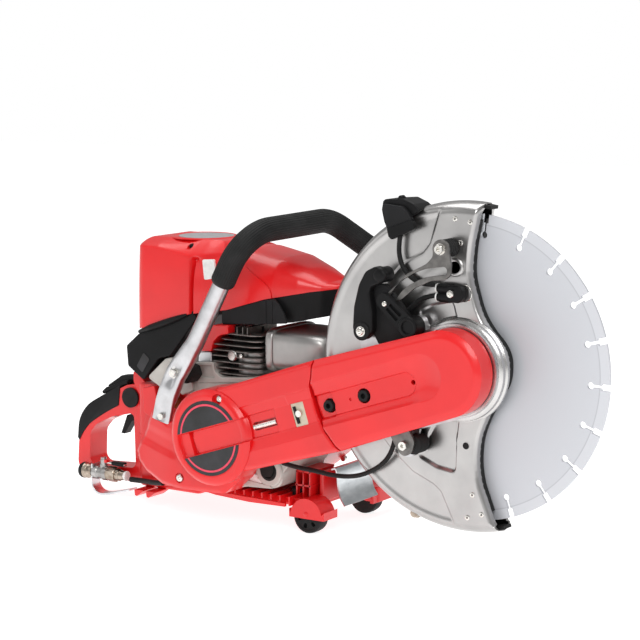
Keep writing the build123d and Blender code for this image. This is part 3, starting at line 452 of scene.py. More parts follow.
# floor and soft studio light
def studio():
    settings = {"floorSize": 12.0, "floorShade": 0.50, "key": 48, "fill": 11, "top": 50, "world": 0.36,
                "glow": 0.86}
    floorMaterial = newMaterial("floorPale", (settings["floorShade"],) * 3, 0.7)
    floorShader = floorMaterial.node_tree.nodes["Principled BSDF"]
    floorShader.inputs["Emission Color"].default_value = (1, 1, 1, 1)
    floorShader.inputs["Emission Strength"].default_value = settings["glow"]
    floorMesh = bpy.data.meshes.new("floor")
    half = settings["floorSize"] / 2
    floorMesh.from_pydata([(-half, -half, 0), (half, -half, 0), (half, half, 0), (-half, half, 0)], [],
                          [(0, 1, 2, 3)])
    floorMesh.materials.append(floorMaterial)
    floor = bpy.data.objects.new("floor", floorMesh)
    bpy.context.scene.collection.objects.link(floor)
    bpy.context.scene.view_settings.view_transform = "Standard"
    world = bpy.data.worlds.new("studioWorld")
    world.use_nodes = True
    background = world.node_tree.nodes["Background"]
    background.inputs["Color"].default_value = (1, 1, 1, 1)
    background.inputs["Strength"].default_value = settings["world"]
    seen = world.node_tree.nodes.new("ShaderNodeBackground")  # the plain white that shows past the floor
    seen.inputs["Color"].default_value = (1, 1, 1, 1)
    seen.inputs["Strength"].default_value = 1.0
    rayKind = world.node_tree.nodes.new("ShaderNodeLightPath")
    mix = world.node_tree.nodes.new("ShaderNodeMixShader")
    worldLinks = world.node_tree.links
    worldLinks.new(rayKind.outputs["Is Camera Ray"], mix.inputs[0])
    worldLinks.new(background.outputs[0], mix.inputs[1])
    worldLinks.new(seen.outputs[0], mix.inputs[2])
    worldLinks.new(mix.outputs[0], world.node_tree.nodes["World Output"].inputs["Surface"])
    bpy.context.scene.world = world
    lamps = [("keyLight", (1.6, -2.4, 2.2), 1.6, settings["key"]),
             ("fillLight", (-2.6, -1.6, 1.5), 2.2, settings["fill"]),
             ("topLight", (-0.3, 0.4, 2.9), 2.4, settings["top"])]
    for name, where, size, power in lamps:
        lampData = bpy.data.lights.new(name, "AREA")
        lampData.size = size
        lampData.energy = power
        lamp = bpy.data.objects.new(name, lampData)
        lamp.location = where
        lamp.rotation_euler = (Vector((0, 0, 0.2)) - Vector(where)).to_track_quat("-Z", "Y").to_euler()
        bpy.context.scene.collection.objects.link(lamp)


studio()


# hoses: one smooth line through the route's own points
hoses = {
    "inlet": {"diameter": 7.0, "body": "root", "length": 85.9, "from": "crank",
              "route": [(-190, 14, -91), (-172, 12, -90), (-152, 2, -87), (-133, -10, -84), (-112, -18, -80)]},
    "arm": {"diameter": 5.6, "body": "root", "length": 195.5, "from": "crank",
            "route": [(80, -29.5, -29), (98, -29.5, -32), (126, -29.5, -33), (156, -29.5, -36),
                      (186, -29.5, -33),
                      (211, -29.5, -22), (230, -29.5, -6), (239, -29.5, 16), (240, -29.5, 30)]},
    "guardUpper": {"diameter": 5.6, "body": "guard", "length": 99.6, "from": "spindle",
                   "route": [(-75, -28, 158), (-79, -27.5, 140), (-78, -27, 122), (-70, -27, 107),
                             (-56, -27.5, 98), (-40, -28, 95), (-26, -29, 96)]},
    "guardLower": {"diameter": 5.6, "body": "guard", "length": 47.2, "from": "spindle",
                   "route": [(-26, -29, 84), (-40, -28.5, 82), (-54, -28.5, 75), (-66, -28.5, 62)]},
}
hoseNodes = {"inlet": "inlet_hose", "arm": "arm_hose", "guardUpper": "guard_hoses", "guardLower": "guard_hoses"}


def makeHose(key):
    facts = hoses[key]
    offset = np.array((crank[0], 0, crank[2])) if facts["from"] == "crank" else np.zeros(3)
    curve = bpy.data.curves.new(key + "Hose", "CURVE")
    curve.dimensions = "3D"
    curve.bevel_depth = facts["diameter"] / 2 * mm
    curve.bevel_resolution = 6
    curve.resolution_u = 16
    curve.use_fill_caps = True
    spline = curve.splines.new("NURBS")
    spline.points.add(len(facts["route"]) - 1)
    for point, spot in zip(spline.points, facts["route"]):
        point.co = (*place(*(np.array(spot, float) + offset)), 1)
    spline.order_u = 3
    spline.use_endpoint_u = True
    curve.materials.append(finish["rubber"])
    piece = bpy.data.objects.new(key + "Hose", curve)
    bpy.context.scene.collection.objects.link(piece)
    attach(piece, facts["body"])
    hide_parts(hoseNodes[key])
    tuple(place(*(np.array(facts["route"][0], float) + offset)))


for hoseKey in hoses:
    makeHose(hoseKey)
print("hoses done")


# finishes of the pieces that the frame brings along
nodeFinish = {
    "red": ["base_frame", "rear_handle", "rear_belt_cover", "front_belt_cover", "filter_cover", "engine_cover",
            "starter_cover"],
    "black": ["intake_box", "cylinder_shroud", "throttle_lockout", "throttle_trigger", "stop_switch",
              "guard_handle", "guard_clamp", "guard_lever", "water_manifold", "fuel_cap", "starter_handle",
              "valve_lever", "starter_pulley"],
    "rubber": ["rear_handle_grip", "front_handle_grip", "near_wheel", "far_wheel", "anti_vibration_mounts",
               "drive_belt", "guard_liner"],
    "cast": ["crankcase_right", "crankcase_left"],
    "aluminium": ["arm_casting", "front_handle_tube", "flywheel", "cylinder", "carburettor", "blade_flanges"],
    "guard": ["guard_near_shell", "guard_far_shell"],
    "blade": ["blade"],
    "steel": ["spindle", "arbor_bolt", "driven_pulley", "ball_bearings", "clutch_drum", "clutch_shoes",
              "crankshaft", "connecting_rod", "piston", "spark_plug"],
    "bolt": ["fasteners", "decompression_valve"],
    "darkSteel": ["guard_link"],
    "nickel": ["water_valve"],
    "muffler": ["muffler"],
    "zinc": ["skid_plate", "valve_bracket"],
    "amber": ["primer_bulb"],
    "paper": ["air_filter"],
}


def dressNodes():
    for look, names in nodeFinish.items():
        for name in names:
            node = frame["nodes"][name]
            node.data.materials.clear()
            node.data.materials.append(finish[look])
            node.data.shade_smooth()
            node.data.set_sharp_from_angle(angle=math.radians(28))


dressNodes()
print("frame dressed")


# moulded faces: a height map over a flat outline, cut to that outline
def slabSolid(outline, low, high, toPoint):  # points and faces of a flat slab
    count = len(outline)
    points = [toPoint(a, b, low) for a, b in outline] + [toPoint(a, b, high) for a, b in outline]
    faces = [(i, (i + 1) % count, count + (i + 1) % count, count + i) for i in range(count)]
    faces += [list(range(count))[::-1], list(range(count, 2 * count))]
    return points, faces


def prism(outline, near, far, toPoint):
    return rawObject("prism", *slabSolid(outline, near, far, toPoint))


def rawObject(name, points, faces):
    mesh = bpy.data.meshes.new(name)
    mesh.from_pydata([tuple(place(*p)) for p in points], [], [tuple(f) for f in faces])
    mesh.validate()
    blank = bpy.data.objects.new(name, mesh)
    bpy.context.scene.collection.objects.link(blank)
    turnOutward(blank)
    return blank


def turnOutward(piece):
    work = bmesh.new()
    work.from_mesh(piece.data)
    bmesh.ops.recalc_face_normals(work, faces=work.faces)
    work.to_mesh(piece.data)
    work.free()


def combine(piece, tool, operation):
    modifier = piece.modifiers.new("shape", "BOOLEAN")
    modifier.operation = operation
    modifier.solver = "EXACT"
    modifier.object = tool
    settle(piece)
    bpy.data.objects.remove(tool)


def moulded(name, outline, height, back, toPoint, look, body, replaces=(), step=1.0, holes=(),
            sharp=30.0):
    outline = np.array(outline, float)
    low, high = outline.min(0) - 1.5, outline.max(0) + 1.5
    a = np.arange(low[0], high[0] + step, step)
    b = np.arange(low[1], high[1] + step, step)
    gridA, gridB = np.meshgrid(a, b, indexing="ij")
    edge = edgeDistance(outline, gridA, gridB)
    tops = height(gridA, gridB, edge)
    rows, columns = gridA.shape
    points = [toPoint(x, y, t) for x, y, t in zip(gridA.ravel(), gridB.ravel(), tops.ravel())]
    border = [i * columns for i in range(rows)] + [(rows - 1) * columns + j for j in range(1, columns)]
    border += [i * columns + columns - 1 for i in range(rows - 2, -1, -1)] + list(range(columns - 2, 0, -1))
    start = len(points)
    points += [toPoint(gridA.ravel()[i], gridB.ravel()[i], back) for i in border]
    faces = gridFaces(rows, columns)
    count = len(border)
    faces += [(border[i], start + i, start + (i + 1) % count, border[(i + 1) % count]) for i in range(count)]
    faces.append([start + i for i in range(count)][::-1])
    piece = rawObject(name, points, faces)
    combine(piece, prism(outline, -400, 400, toPoint), "INTERSECT")
    for hole in holes:
        combine(piece, hole, "DIFFERENCE")
    finishPiece(piece, look, body, replaces, sharp)
    return piece


def finishPiece(piece, look, body, replaces=(), sharp=30.0):
    piece.data.materials.clear()
    piece.data.materials.append(finish[look])
    piece.data.shade_smooth()
    piece.data.set_sharp_from_angle(angle=math.radians(sharp))
    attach(piece, body)
    if replaces:
        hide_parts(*replaces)
    return piece


def circle(centre, radius, sides=40, start=0.0):
    angles = np.linspace(0, 2 * math.pi, sides, endpoint=False) + start
    return [(centre[0] + radius * math.cos(t), centre[1] + radius * math.sin(t)) for t in angles]


def onArm(u, v, y):
    x, z = armPoint(u, v)
    return x, y, z


def onSide(x, z, y):
    return x, y, z


def armHole(centre, radius, near, far, sides=40):
    return prism(circle(centre, radius, sides), near, far, onArm)


# belt arm covers
coverFacts = {"face": -66.0, "edge": -62.0, "back": -36.0, "endRadius": 50.0, "rootHalf": 55.0, "bevel": 9.0,
              "gap": [(172.2, 55.2), (165.0, 38.0), (160.0, 28.0), (156.3, 12.0), (156.8, -8.8), (161.0, -22.0),
                      (168.0, -38.0), (175.2, -55.2)], "gapWidth": 2.2}


def gapLine(shift):
    points = np.array(coverFacts["gap"], float)
    t = np.linspace(0, len(points) - 1, 29)
    base = np.arange(len(points))
    v = np.interp(t, base, points[:, 1])
    u = np.interp(t, base, points[:, 0])
    for _ in range(2):  # eased so that the line is a gentle S
        u[1:-1] = (u[:-2] + 2 * u[1:-1] + u[2:]) / 4
    return [(a + shift, b) for a, b in zip(u, v)]


def bevelDrop(edge, width, depth):  # rounded fall towards an outline
    t = np.clip(1 - edge / width, 0, 1)
    return depth * t ** 1.6


def frontCover():
    facts = coverFacts
    tip = [(armLength + facts["endRadius"] * math.cos(t), facts["endRadius"] * math.sin(t))
           for t in np.linspace(-math.pi / 2, math.pi / 2, 49)]
    outline = tip + gapLine(facts["gapWidth"] / 2)

    def height(u, v, edge):
        freeEdge = np.minimum(edgeDistance(np.array(tip + [(170, facts["rootHalf"]), (120, facts["rootHalf"]),
                                                            (120, -facts["rootHalf"]),
                                                                    (170, -facts["rootHalf"])]),
                                           u, v), 60)
        y = facts["face"] + bevelDrop(freeEdge, facts["bevel"], facts["face"] * -1 - 61.0) * 1.0
        fromOuter = 26.5 - segmentDistance((100, 3), (311, 3), u, v)
        fromFloor = segmentDistance((100, 0.5), (285, 0.5), u, v) - 13.5
        share = np.clip(fromOuter / np.maximum(fromOuter + np.maximum(fromFloor, 0), 1e-6), 0, 1)
        bowl = np.where(fromOuter > 0, 7.0 * (1 - (1 - share) ** 1.7), 0)
        bowl = np.where(fromFloor < 0, 8.2, bowl)
        y = y + bowl
        notch = smoothStep(0.4, -0.4, np.maximum(u - 181, np.abs(v) - 14.5))
        y = y + 2.5 * notch
        rim = smoothStep(1.6, 0.4, edge) * (u < 200) * (np.abs(v) < 54)
        return y + rim * 0.8

    holes = [armHole((174.6, -0.8), 8.6, -80, -46), armHole((225.3, -0.1), 8.8, -80, -46),
             armHole((294.8, 0.1), 2.9, -80, -44, 24), armHole((206.0, 0.0), 2.0, -59.4, -56.0, 20)]
    moulded("frontBeltCover", outline, height, facts["back"], onArm, "red", "root",
            ["front_belt_cover"], step=1.0, holes=holes)


frontCover()
print("front cover done")


badgeFacts = {"face": -72.0, "radius": 59.0, "ringInner": 46.5, "channelTop": 12.5, "channelBottom": -15.5,
              "channelDepth": 5.5, "plateProud": 0.25, "strip": -66.0, "lowFace": -55.0}


def rearStrip():  # the arm's own stretch of the rear cover
    facts = coverFacts
    half = facts["rootHalf"]
    outline = [(20, half - 1.5), (20, -50)] + gapLine(-facts["gapWidth"] / 2)[::-1]

    def height(u, v, edge):
        side = np.minimum(half - 0.7 - v, v + half - 0.7 - (170 - u) * 0.035)
        y = badgeFacts["strip"] + bevelDrop(np.clip(side, 0, 99), 5.0, 4.0)
        y = y + np.interp(v, [-55, -29, -28, -16.5, -15.5, 12.5, 13.5, 24, 25.5, 55],
                          [0.6, 0, 0.6, 4.2, 5.0, 5.0, 4.2, 1.4, 0, 0.8])
        floor = (v > badgeFacts["channelBottom"]) & (v < badgeFacts["channelTop"])
        y = np.where(floor, y + 2.2 * smoothStep(98, 96.5, u), y)
        step = (u > 121) & (v > 12.5) & (v < 24)
        y = np.where(step, y - 0.5, y)
        rim = smoothStep(1.6, 0.4, edge) * (u > 150)
        return y + rim * 0.8

    slotOutline = roundCorners([(60, 3.0), (96, 3.0), (96, -7.0), (60, -7.0)], [5, 0.5, 0.5, 5], 8)
    windowOutline = [(123, 12.8), (141.5, 12.4), (141.5, -15.4), (123, -15.4)]
    holes = [prism(slotOutline, -90, -54, onArm), prism(windowOutline, -90, -58.6, onArm)]
    moulded("rearCoverStrip", outline, height, -30.0, onArm, "red", "root",
            ["rear_belt_cover"], step=1.0, holes=holes)
    # bright tensioner screw lying in the slot window
    rodPath = [onArm(62, -2.4, -57.5), onArm(96, -2.4, -57.5)]
    sweep("tensionScrew", dense(rodPath, 1.0), lambda share: (
        (3.6 + 0.25 * math.cos(share * 130)) * np.cos(np.linspace(0, 2 * math.pi, 20, endpoint=False)),
        (3.6 + 0.25 * math.cos(share * 130)) * np.sin(np.linspace(0, 2 * math.pi, 20, endpoint=False))),
        "bolt", "root")
    # pale scale plate with its pointer and bolt
    plateOutline = [onArmFlat(u, v) for u, v in windowOutline]
    plate("tensionScale", plateOutline, -60.4, -58.8, "windowBeige", "root", edge=0.2)
    pointer = [(126, 9), (129.5, 9), (129.5, 3), (133, 3), (133, -4), (130.5, -4), (130.5, -12), (127, -12)]
    plate("tensionPointer", [onArmFlat(u, v) for u, v in pointer], -62.6, -60.3, "blackSoft", "root",
          edge=0.4)
    hexHead("pointerBolt", (133.5, -0.5), -65.0, -60.3, 8.0, "bolt", onArm)


def onArmFlat(u, v):
    x, z = armPoint(u, v)
    return x, z


def hexHead(name, centre, near, far, flats, look, toPoint, body="root", turn=10.0, socket=0.0):
    # six-sided head with a chamfered face, and a round socket where asked
    levels = [(far, 1.0), (near + 0.35 * flats * 0.25, 1.0), (near, 0.88)]
    points, faces = [], []
    sides = 36
    angles = np.linspace(0, 2 * math.pi, sides, endpoint=False)
    hexRadius = flats / 2 / np.cos((angles + math.pi / 6) % (math.pi / 3) - math.pi / 6)
    for level, share in levels:
        radius = np.minimum(hexRadius * (1.0 if share == 1.0 else 1.0),
                            flats * 0.577 * (1.0 if share == 1.0 else 0.87))
        for angle, r in zip(angles, radius):
            t = angle + math.radians(turn)
            points.append(toPoint(centre[0] + r * math.cos(t), centre[1] + r * math.sin(t), level))
    faces = gridFaces(len(levels), sides, False, True)
    start = (len(levels) - 1) * sides
    if socket:
        ring = len(points)
        for level in (near, near + flats * 0.4):
            for angle in angles:
                points.append(toPoint(centre[0] + socket * math.cos(angle),
                                      centre[1] + socket * math.sin(angle), level))
        for j in range(sides):
            k = (j + 1) % sides
            faces.append((start + j, start + k, ring + k, ring + j))
            faces.append((ring + j, ring + k, ring + sides + k, ring + sides + j))
        faces.append([ring + sides + j for j in range(sides)])
    else:
        faces.append([start + j for j in range(sides)])
    faces.append([j for j in range(sides)][::-1])
    piece = rawObject(name, points, faces)
    return finishPiece(piece, look, body, sharp=28)


def roundHead(name, centre, near, far, radius, look, toPoint, body="root", socket=0.45,
              washer=0.0):
    # pan head with a hex socket, on a thin washer where asked
    sides = 36
    angles = np.linspace(0, 2 * math.pi, sides, endpoint=False)
    profile = [(far, radius), (near + 0.25 * radius, radius), (near + 0.06 * radius, radius * 0.86),
               (near, radius * 0.6)]
    if washer:
        profile = [(far, washer), (far - 0.9, washer), (far - 1.0, radius)] + profile[1:]
    profile += [(near, radius * socket), (near + radius * 0.5, radius * socket)]
    points = []
    for level, r in profile:
        for angle in angles:
            points.append(toPoint(centre[0] + r * math.cos(angle), centre[1] + r * math.sin(angle), level))
    faces = gridFaces(len(profile), sides, False, True)
    faces.append([(len(profile) - 1) * sides + j for j in range(sides)])
    faces.append(list(range(sides))[::-1])
    piece = rawObject(name, points, faces)
    return finishPiece(piece, look, body, sharp=35)


def clutchFoot():  # the lower, flatter body of the rear cover round the clutch
    corners = [(-392, -99), (-424, -84), (-452, -141), (-449, -154), (-437, -166), (-409, -178), (-374, -181),
               (-312, -179), (-290, -160), (-262, -122), (-262, -60), (-300, -44), (-345, -52), (-366, -70)]
    outline = roundCorners(corners, [6, 5, 8, 8, 10, 12, 16, 14, 10, 10, 10, 10, 10, 8], 6)

    def height(x, z, edge):
        y = badgeFacts["lowFace"] + bevelDrop(edge, 7.0, 4.5)
        slope = 7.0 * smoothStep(-385, -450, x)  # the face falls away towards the rear
        dish = 2.2 * smoothStep(10, -2, segmentDistance((-470, -108), (-384, -130), x, z) - 6)
        return y + slope + dish * smoothStep(-372, -392, x)

    moulded("rearCoverFoot", outline, height, -14.0, onSide, "red", "root",
            ["rear_belt_cover"], step=1.2, holes=[prism(circle((-377, -166), 6.5), -90, -52.5, onSide)])
    roundHead("footScrew", (-377, -166), -56.5, -52.0, 4.6, "bolt", onSide)


def badgeDisc():
    facts = badgeFacts
    centre = (crank[0] - 0.5, crank[2] - 1.0)
    crossU, crossV = armUnit

    def along(x, z):
        dx, dz = x - centre[0], z - centre[1]
        return dx * crossU + dz * crossV, -dx * crossV + dz * crossU

    def height(x, z, edge):
        r = np.hypot(x - centre[0], z - centre[1])
        u, v = along(x, z)
        y = facts["face"] + 9.0 * np.clip((r - 50.5) / 8.5, 0, 1) ** 2.0 * 0.62
        y = y + 0.5 * smoothStep(47.2, 46.4, r)
        inChannel = smoothStep(-0.5, 0.5, v - facts["channelBottom"]) * smoothStep(0.5, -0.5,
                v - facts["channelTop"])
        y = y + inChannel * smoothStep(-30.0, -29.0, u) * facts["channelDepth"]
        crescent = smoothStep(0.6, -0.6, r - 45.5) * smoothStep(0.6, -0.6, 33.5 - np.hypot(u - 7.5, v * 0.98))
        crescent = crescent * smoothStep(-0.5, 0.5, v + 17) * smoothStep(0.5, -0.5, v - 13) * (u < 0)
        return y + crescent * 4.5

    outline = circle(centre, facts["radius"], 144)
    pocket = armPoint(27.2, 41.0)
    pocketShape = [prism(circle(pocket, 6.8), -90, -62.5, onSide)]
    moulded("badgeBoss", outline, height, -30.0, onSide, "red", "root",
            ["rear_belt_cover"], step=0.9, holes=pocketShape)
    roundHead("badgeScrew", armPoint(27.8, 41.2), -68.0, -62.3, 4.4, "bolt", onSide)
    # two blank dark plates, each with a thin coloured line near its round edge
    for name, sign, edgeV in (("badgePlateUpper", 1, facts["channelTop"] + 1.2),
                              ("badgePlateLower", -1, facts["channelBottom"] - 1.2)):
        def segment(radius, cutV, level, far, look, pieceName, hollow=0.0):
            reach = math.acos(min(1, abs(cutV) / radius))
            t = np.linspace(math.pi / 2 - reach, math.pi / 2 + reach, 64)
            rim = [(radius * math.cos(a), sign * radius * math.sin(a)) for a in t]
            if hollow:
                innerReach = math.acos(min(1, abs(cutV) / hollow))
                t = np.linspace(math.pi / 2 + innerReach, math.pi / 2 - innerReach, 64)
                rim += [(hollow * math.cos(a), sign * hollow * math.sin(a)) for a in t]
            flat = [(centre[0] + a * crossU - b * crossV, centre[1] + a * crossV + b * crossU) for a, b in rim]
            plate(pieceName, flat, level, far, look, "root", edge=0.0)
        segment(46.0, edgeV, facts["face"] + 0.1, facts["face"] + 1.5, "badge", name)
        segment(41.8, edgeV, facts["face"] - 0.05, facts["face"] + 0.6, "badgeLine", name + "Line", hollow=39.4)


rearStrip()
clutchFoot()
badgeDisc()
for nutName, nutU, nutV in (("armNutRear", 174.6, -0.8), ("armNutFront", 225.3, -0.1)):
    hexHead(nutName, (nutU, nutV), -60.5, -46.5, 13.0, "blackSoft", onArm, turn=14, socket=3.2)
print("rear cover done")


# guard
guardFacts = {"rim": 191.0, "plate": 22.0, "shoulder": 14.0, "sheet": 2.0, "lip": 5.0, "lipDrop": 8.0,
              "step": 3.0,
              "pocket": 3.2}
guardEdge = [(23.0, 189.6), (18.0, 166.0), (12.6, 139.4), (11.3, 109.2), (17.9, 82.3), (26.0, 62.3),
             (38.0, 45.3),
             (52.0, 30.0), (59.0, 13.0), (57.0, -12.0), (44.0, -34.5), (33.0, -55.5), (24.9, -77.6),
                     (22.4, -103.0),
             (25.5, -127.8), (34.3, -151.8), (48.0, -184.9)]


def smoothLine(points, count):  # Catmull-Rom line through a few points
    points = np.array(points, float)
    padded = np.vstack([2 * points[0] - points[1], points, 2 * points[-1] - points[-2]])
    t = np.linspace(0, len(points) - 1 - 1e-9, count)
    base = t.astype(int)
    f = (t - base)[:, None]
    p0, p1, p2, p3 = (padded[base + k] for k in range(4))
    return 0.5 * (2 * p1 + (p2 - p0) * f + (2 * p0 - 5 * p1 + 4 * p2 - p3) * f ** 2
                  + (3 * p1 - p0 - 3 * p2 + p3) * f ** 3)


def insideOf(outline, x, z):
    outline = np.array(outline, float)
    within = np.zeros(np.shape(x), bool)
    for a, b in zip(outline, np.roll(outline, -1, axis=0)):
        crosses = ((a[1] > z) != (b[1] > z)) & (x < (b[0] - a[0]) * (z - a[1]) / (b[1] - a[1] + 1e-12) + a[0])
        within ^= crosses
    return within


def signedDistance(outline, x, z):  # positive inside
    distance = edgeDistance(outline, x, z)
    return np.where(insideOf(outline, x, z), distance, -distance)


raisedField = roundCorners([(-17, 215), (-41, 141), (-50, 130), (-78, 116), (-112, 80), (-116, 0), (-112, -80),
                            (-90, -103), (-62, -125), (-34, -136.5), (-24, -144), (12, -215), (120, -215),
                                    (120, 215)],
                           [0, 10, 10, 14, 20, 30, 20, 20, 20, 14, 12, 0, 0, 0], 6)
lowerPocket = roundCorners([(-1, -52), (-4, -80), (-5, -119.5), (-30, -116), (-56, -105), (-45.5, -97),
                            (-45, -87),
                            (-34, -66), (-22, -54)], [2, 8, 5, 20, 4, 3, 3, 4, 4], 5)
upperPocket = roundCorners([(-2, 50), (-10, 77), (-34, 73), (-56, 62), (-40, 46)], [2, 4, 16, 4, 2], 5)


def guardShell(name, sign, replaced):
    facts = guardFacts
    rows, columns = 300, 210
    front = smoothLine(guardEdge, rows)
    top = math.atan2(guardEdge[0][1], guardEdge[0][0])
    bottom = math.atan2(guardEdge[-1][1], guardEdge[-1][0]) + 2 * math.pi
    angles = np.linspace(top, bottom, rows)
    rim = np.stack([facts["rim"] * np.cos(angles), facts["rim"] * np.sin(angles)], axis=1)
    share = np.linspace(0, 1, columns) ** 1.15
    share = share[None, :, None]
    grid = rim[:, None, :] * (1 - share) + front[:, None, :] * share
    x, z = grid[..., 0], grid[..., 1]
    r = np.hypot(x, z)
    edge = np.min([segmentDistance(a, b, x, z) for a, b in zip(front[::6], front[6::6])], axis=0)

    def sheet(inset):
        reach = facts["shoulder"] - inset * 0.5
        t = np.clip((r - (facts["rim"] - inset - reach)) / reach, 0, 1)
        depth = (facts["plate"] - inset) * np.sqrt(np.clip(1 - t ** 2.2, 0, 1))
        relief = facts["step"] * smoothStep(1.5, -2.0, signedDistance(raisedField, x, z))
        relief = relief + facts["pocket"] * smoothStep(-1.4, 1.4,
                signedDistance(lowerPocket, x, z)) * (sign < 0)
        relief = relief + 1.6 * smoothStep(-1.0, 1.0, signedDistance(upperPocket, x, z)) * (sign < 0)
        relief = np.where(r > facts["rim"] - facts["shoulder"] - 4,
                          relief * smoothStep(facts["rim"] - 2, facts["rim"] - facts["shoulder"] - 4, r),
                                  relief)
        fall = np.clip(1 - edge / facts["lip"], 0, 1)
        lip = facts["lipDrop"] * (1 - np.sqrt(np.clip(1 - fall ** 2, 0, 1)))
        return np.maximum(depth - relief - lip * (depth > 9), 0)

    outer, inner = sheet(0.0), sheet(facts["sheet"])
    points = [(a, sign * d, b) for a, b, d in zip(x.ravel(), z.ravel(), outer.ravel())]
    points += [(a, sign * d, b) for a, b, d in zip(x.ravel(), z.ravel(), inner.ravel())]
    shift = rows * columns
    faces = gridFaces(rows, columns)
    outerCount = len(faces)
    faces += [tuple(shift + i for i in face) for face in gridFaces(rows, columns)]
    border = [i * columns for i in range(rows)] + [(rows - 1) * columns + j for j in range(1, columns)]
    border += [i * columns + columns - 1 for i in range(rows - 2, -1, -1)] + list(range(columns - 2, 0, -1))
    count = len(border)
    faces += [(border[i], border[(i + 1) % count], shift + border[(i + 1) % count], shift + border[i])
              for i in range(count)]
    piece = rawObject(name, points, faces)
    piece.data.materials.append(finish["guard"])
    piece.data.materials.append(finish["rubber"])
    for polygon in piece.data.polygons:
        polygon.material_index = 1 if outerCount <= polygon.index < 2 * outerCount else 0
    piece.data.shade_smooth()
    piece.data.set_sharp_from_angle(angle=math.radians(40))
    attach(piece, "guard")
    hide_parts(replaced)
    return piece


def stripAlong(name, line, yNear, yFar, thickness, look, body, replaces=()):
    # flat band standing on edge along a line in the x-z plane
    line = np.array(line, float)
    tangent = np.gradient(line, axis=0)
    tangent /= np.linalg.norm(tangent, axis=1)[:, None]
    normal = np.stack([-tangent[:, 1], tangent[:, 0]], axis=1) * thickness / 2
    outlineA, outlineB = line + normal, line - normal
    points = []
    for a, b in zip(outlineA, outlineB):
        points += [(a[0], yNear, a[1]), (a[0], yFar, a[1]), (b[0], yFar, b[1]), (b[0], yNear, b[1])]
    faces = gridFaces(len(line), 4, False, True) + [(0, 1, 2, 3),
            tuple(4 * len(line) - k for k in (1, 2, 3, 4))]
    piece = rawObject(name, points, faces)
    return finishPiece(piece, look, body, replaces, 40)


def boss(name, centre, profile, look, body, sides=48, sharp=32.0):  # turned piece on an axis along y
    return lathe(name, profile, centre, look, body, sides, (), "y", sharp)


def rivet(name, centre):
    boss(name, centre, [(-21.0, 0.9), (-22.4, 0.9), (-22.9, 1.3), (-23.0, 2.2), (-22.6, 3.1), (-21.5, 3.5)],
         "bolt", "guard", 28)
    boss(name + "Core", centre, [(-22.5, 0.1), (-22.4, 1.0), (-21.0, 1.0)], "blackSoft", "guard",
         16)


guardShell("guardNearShell", -1, "guard_near_shell")
guardShell("guardFarShell", 1, "guard_far_shell")
edgeLine = smoothLine(guardEdge, 120)
# black rubber strips just behind the front edge, between lip and blade: partly the rubber flap, partly a dark band
# standing in for the shade in that gap
for stripName, stripNear, stripFar in (("rubberAndShadeStripNear", -15.5, -4.0), ("rubberAndShadeStripFar", 4.0, 15.5)):
    stripAlong(stripName, edgeLine[6:-5] - np.array([1.4, 0]), stripNear, stripFar, 1.6, "rubber", "guard")
for index, centre in enumerate([(-8.2, 171.5), (11.4, 168.4), (-1.0, 144.6), (17.7, -143.0), (11.5, -170.3),
                                (30.0, -164.5)]):
    rivet("guardRivet%d" % index, centre)
boss("guardHole", (8.8, -87.0), [(-21.0, 4.9), (-22.3, 4.9), (-22.3, 4.1), (-20.5, 4.0)], "guard", "guard",
     32)
boss("guardHoleCore", (8.8, -87.0), [(-22.15, 0.05), (-22.1, 4.3), (-21.0, 4.3)], "blackSoft", "guard",
     32)
boss("hubRingOuter", (0, 0), [(-33.5, 50.6), (-34.2, 51.4), (-34.2, 53.0), (-33.0, 53.8), (-29.0, 54.3),
                              (-28.2, 56.6),
                              (-26.6, 58.4), (-22.8, 59.2), (-21.0, 61.5), (-17.0, 61.5), (-17.0, 50.6)],
     "ring", "guard", 128)
boss("linkSeat", (-7.2, 116.4), [(-21.5, 11.0), (-23.2, 10.6), (-24.0, 9.6), (-24.2, 8.2), (-23.6, 7.0),
                                 (-22.0, 6.6)],
     "guard", "guard", 48)
print("guard shells done")


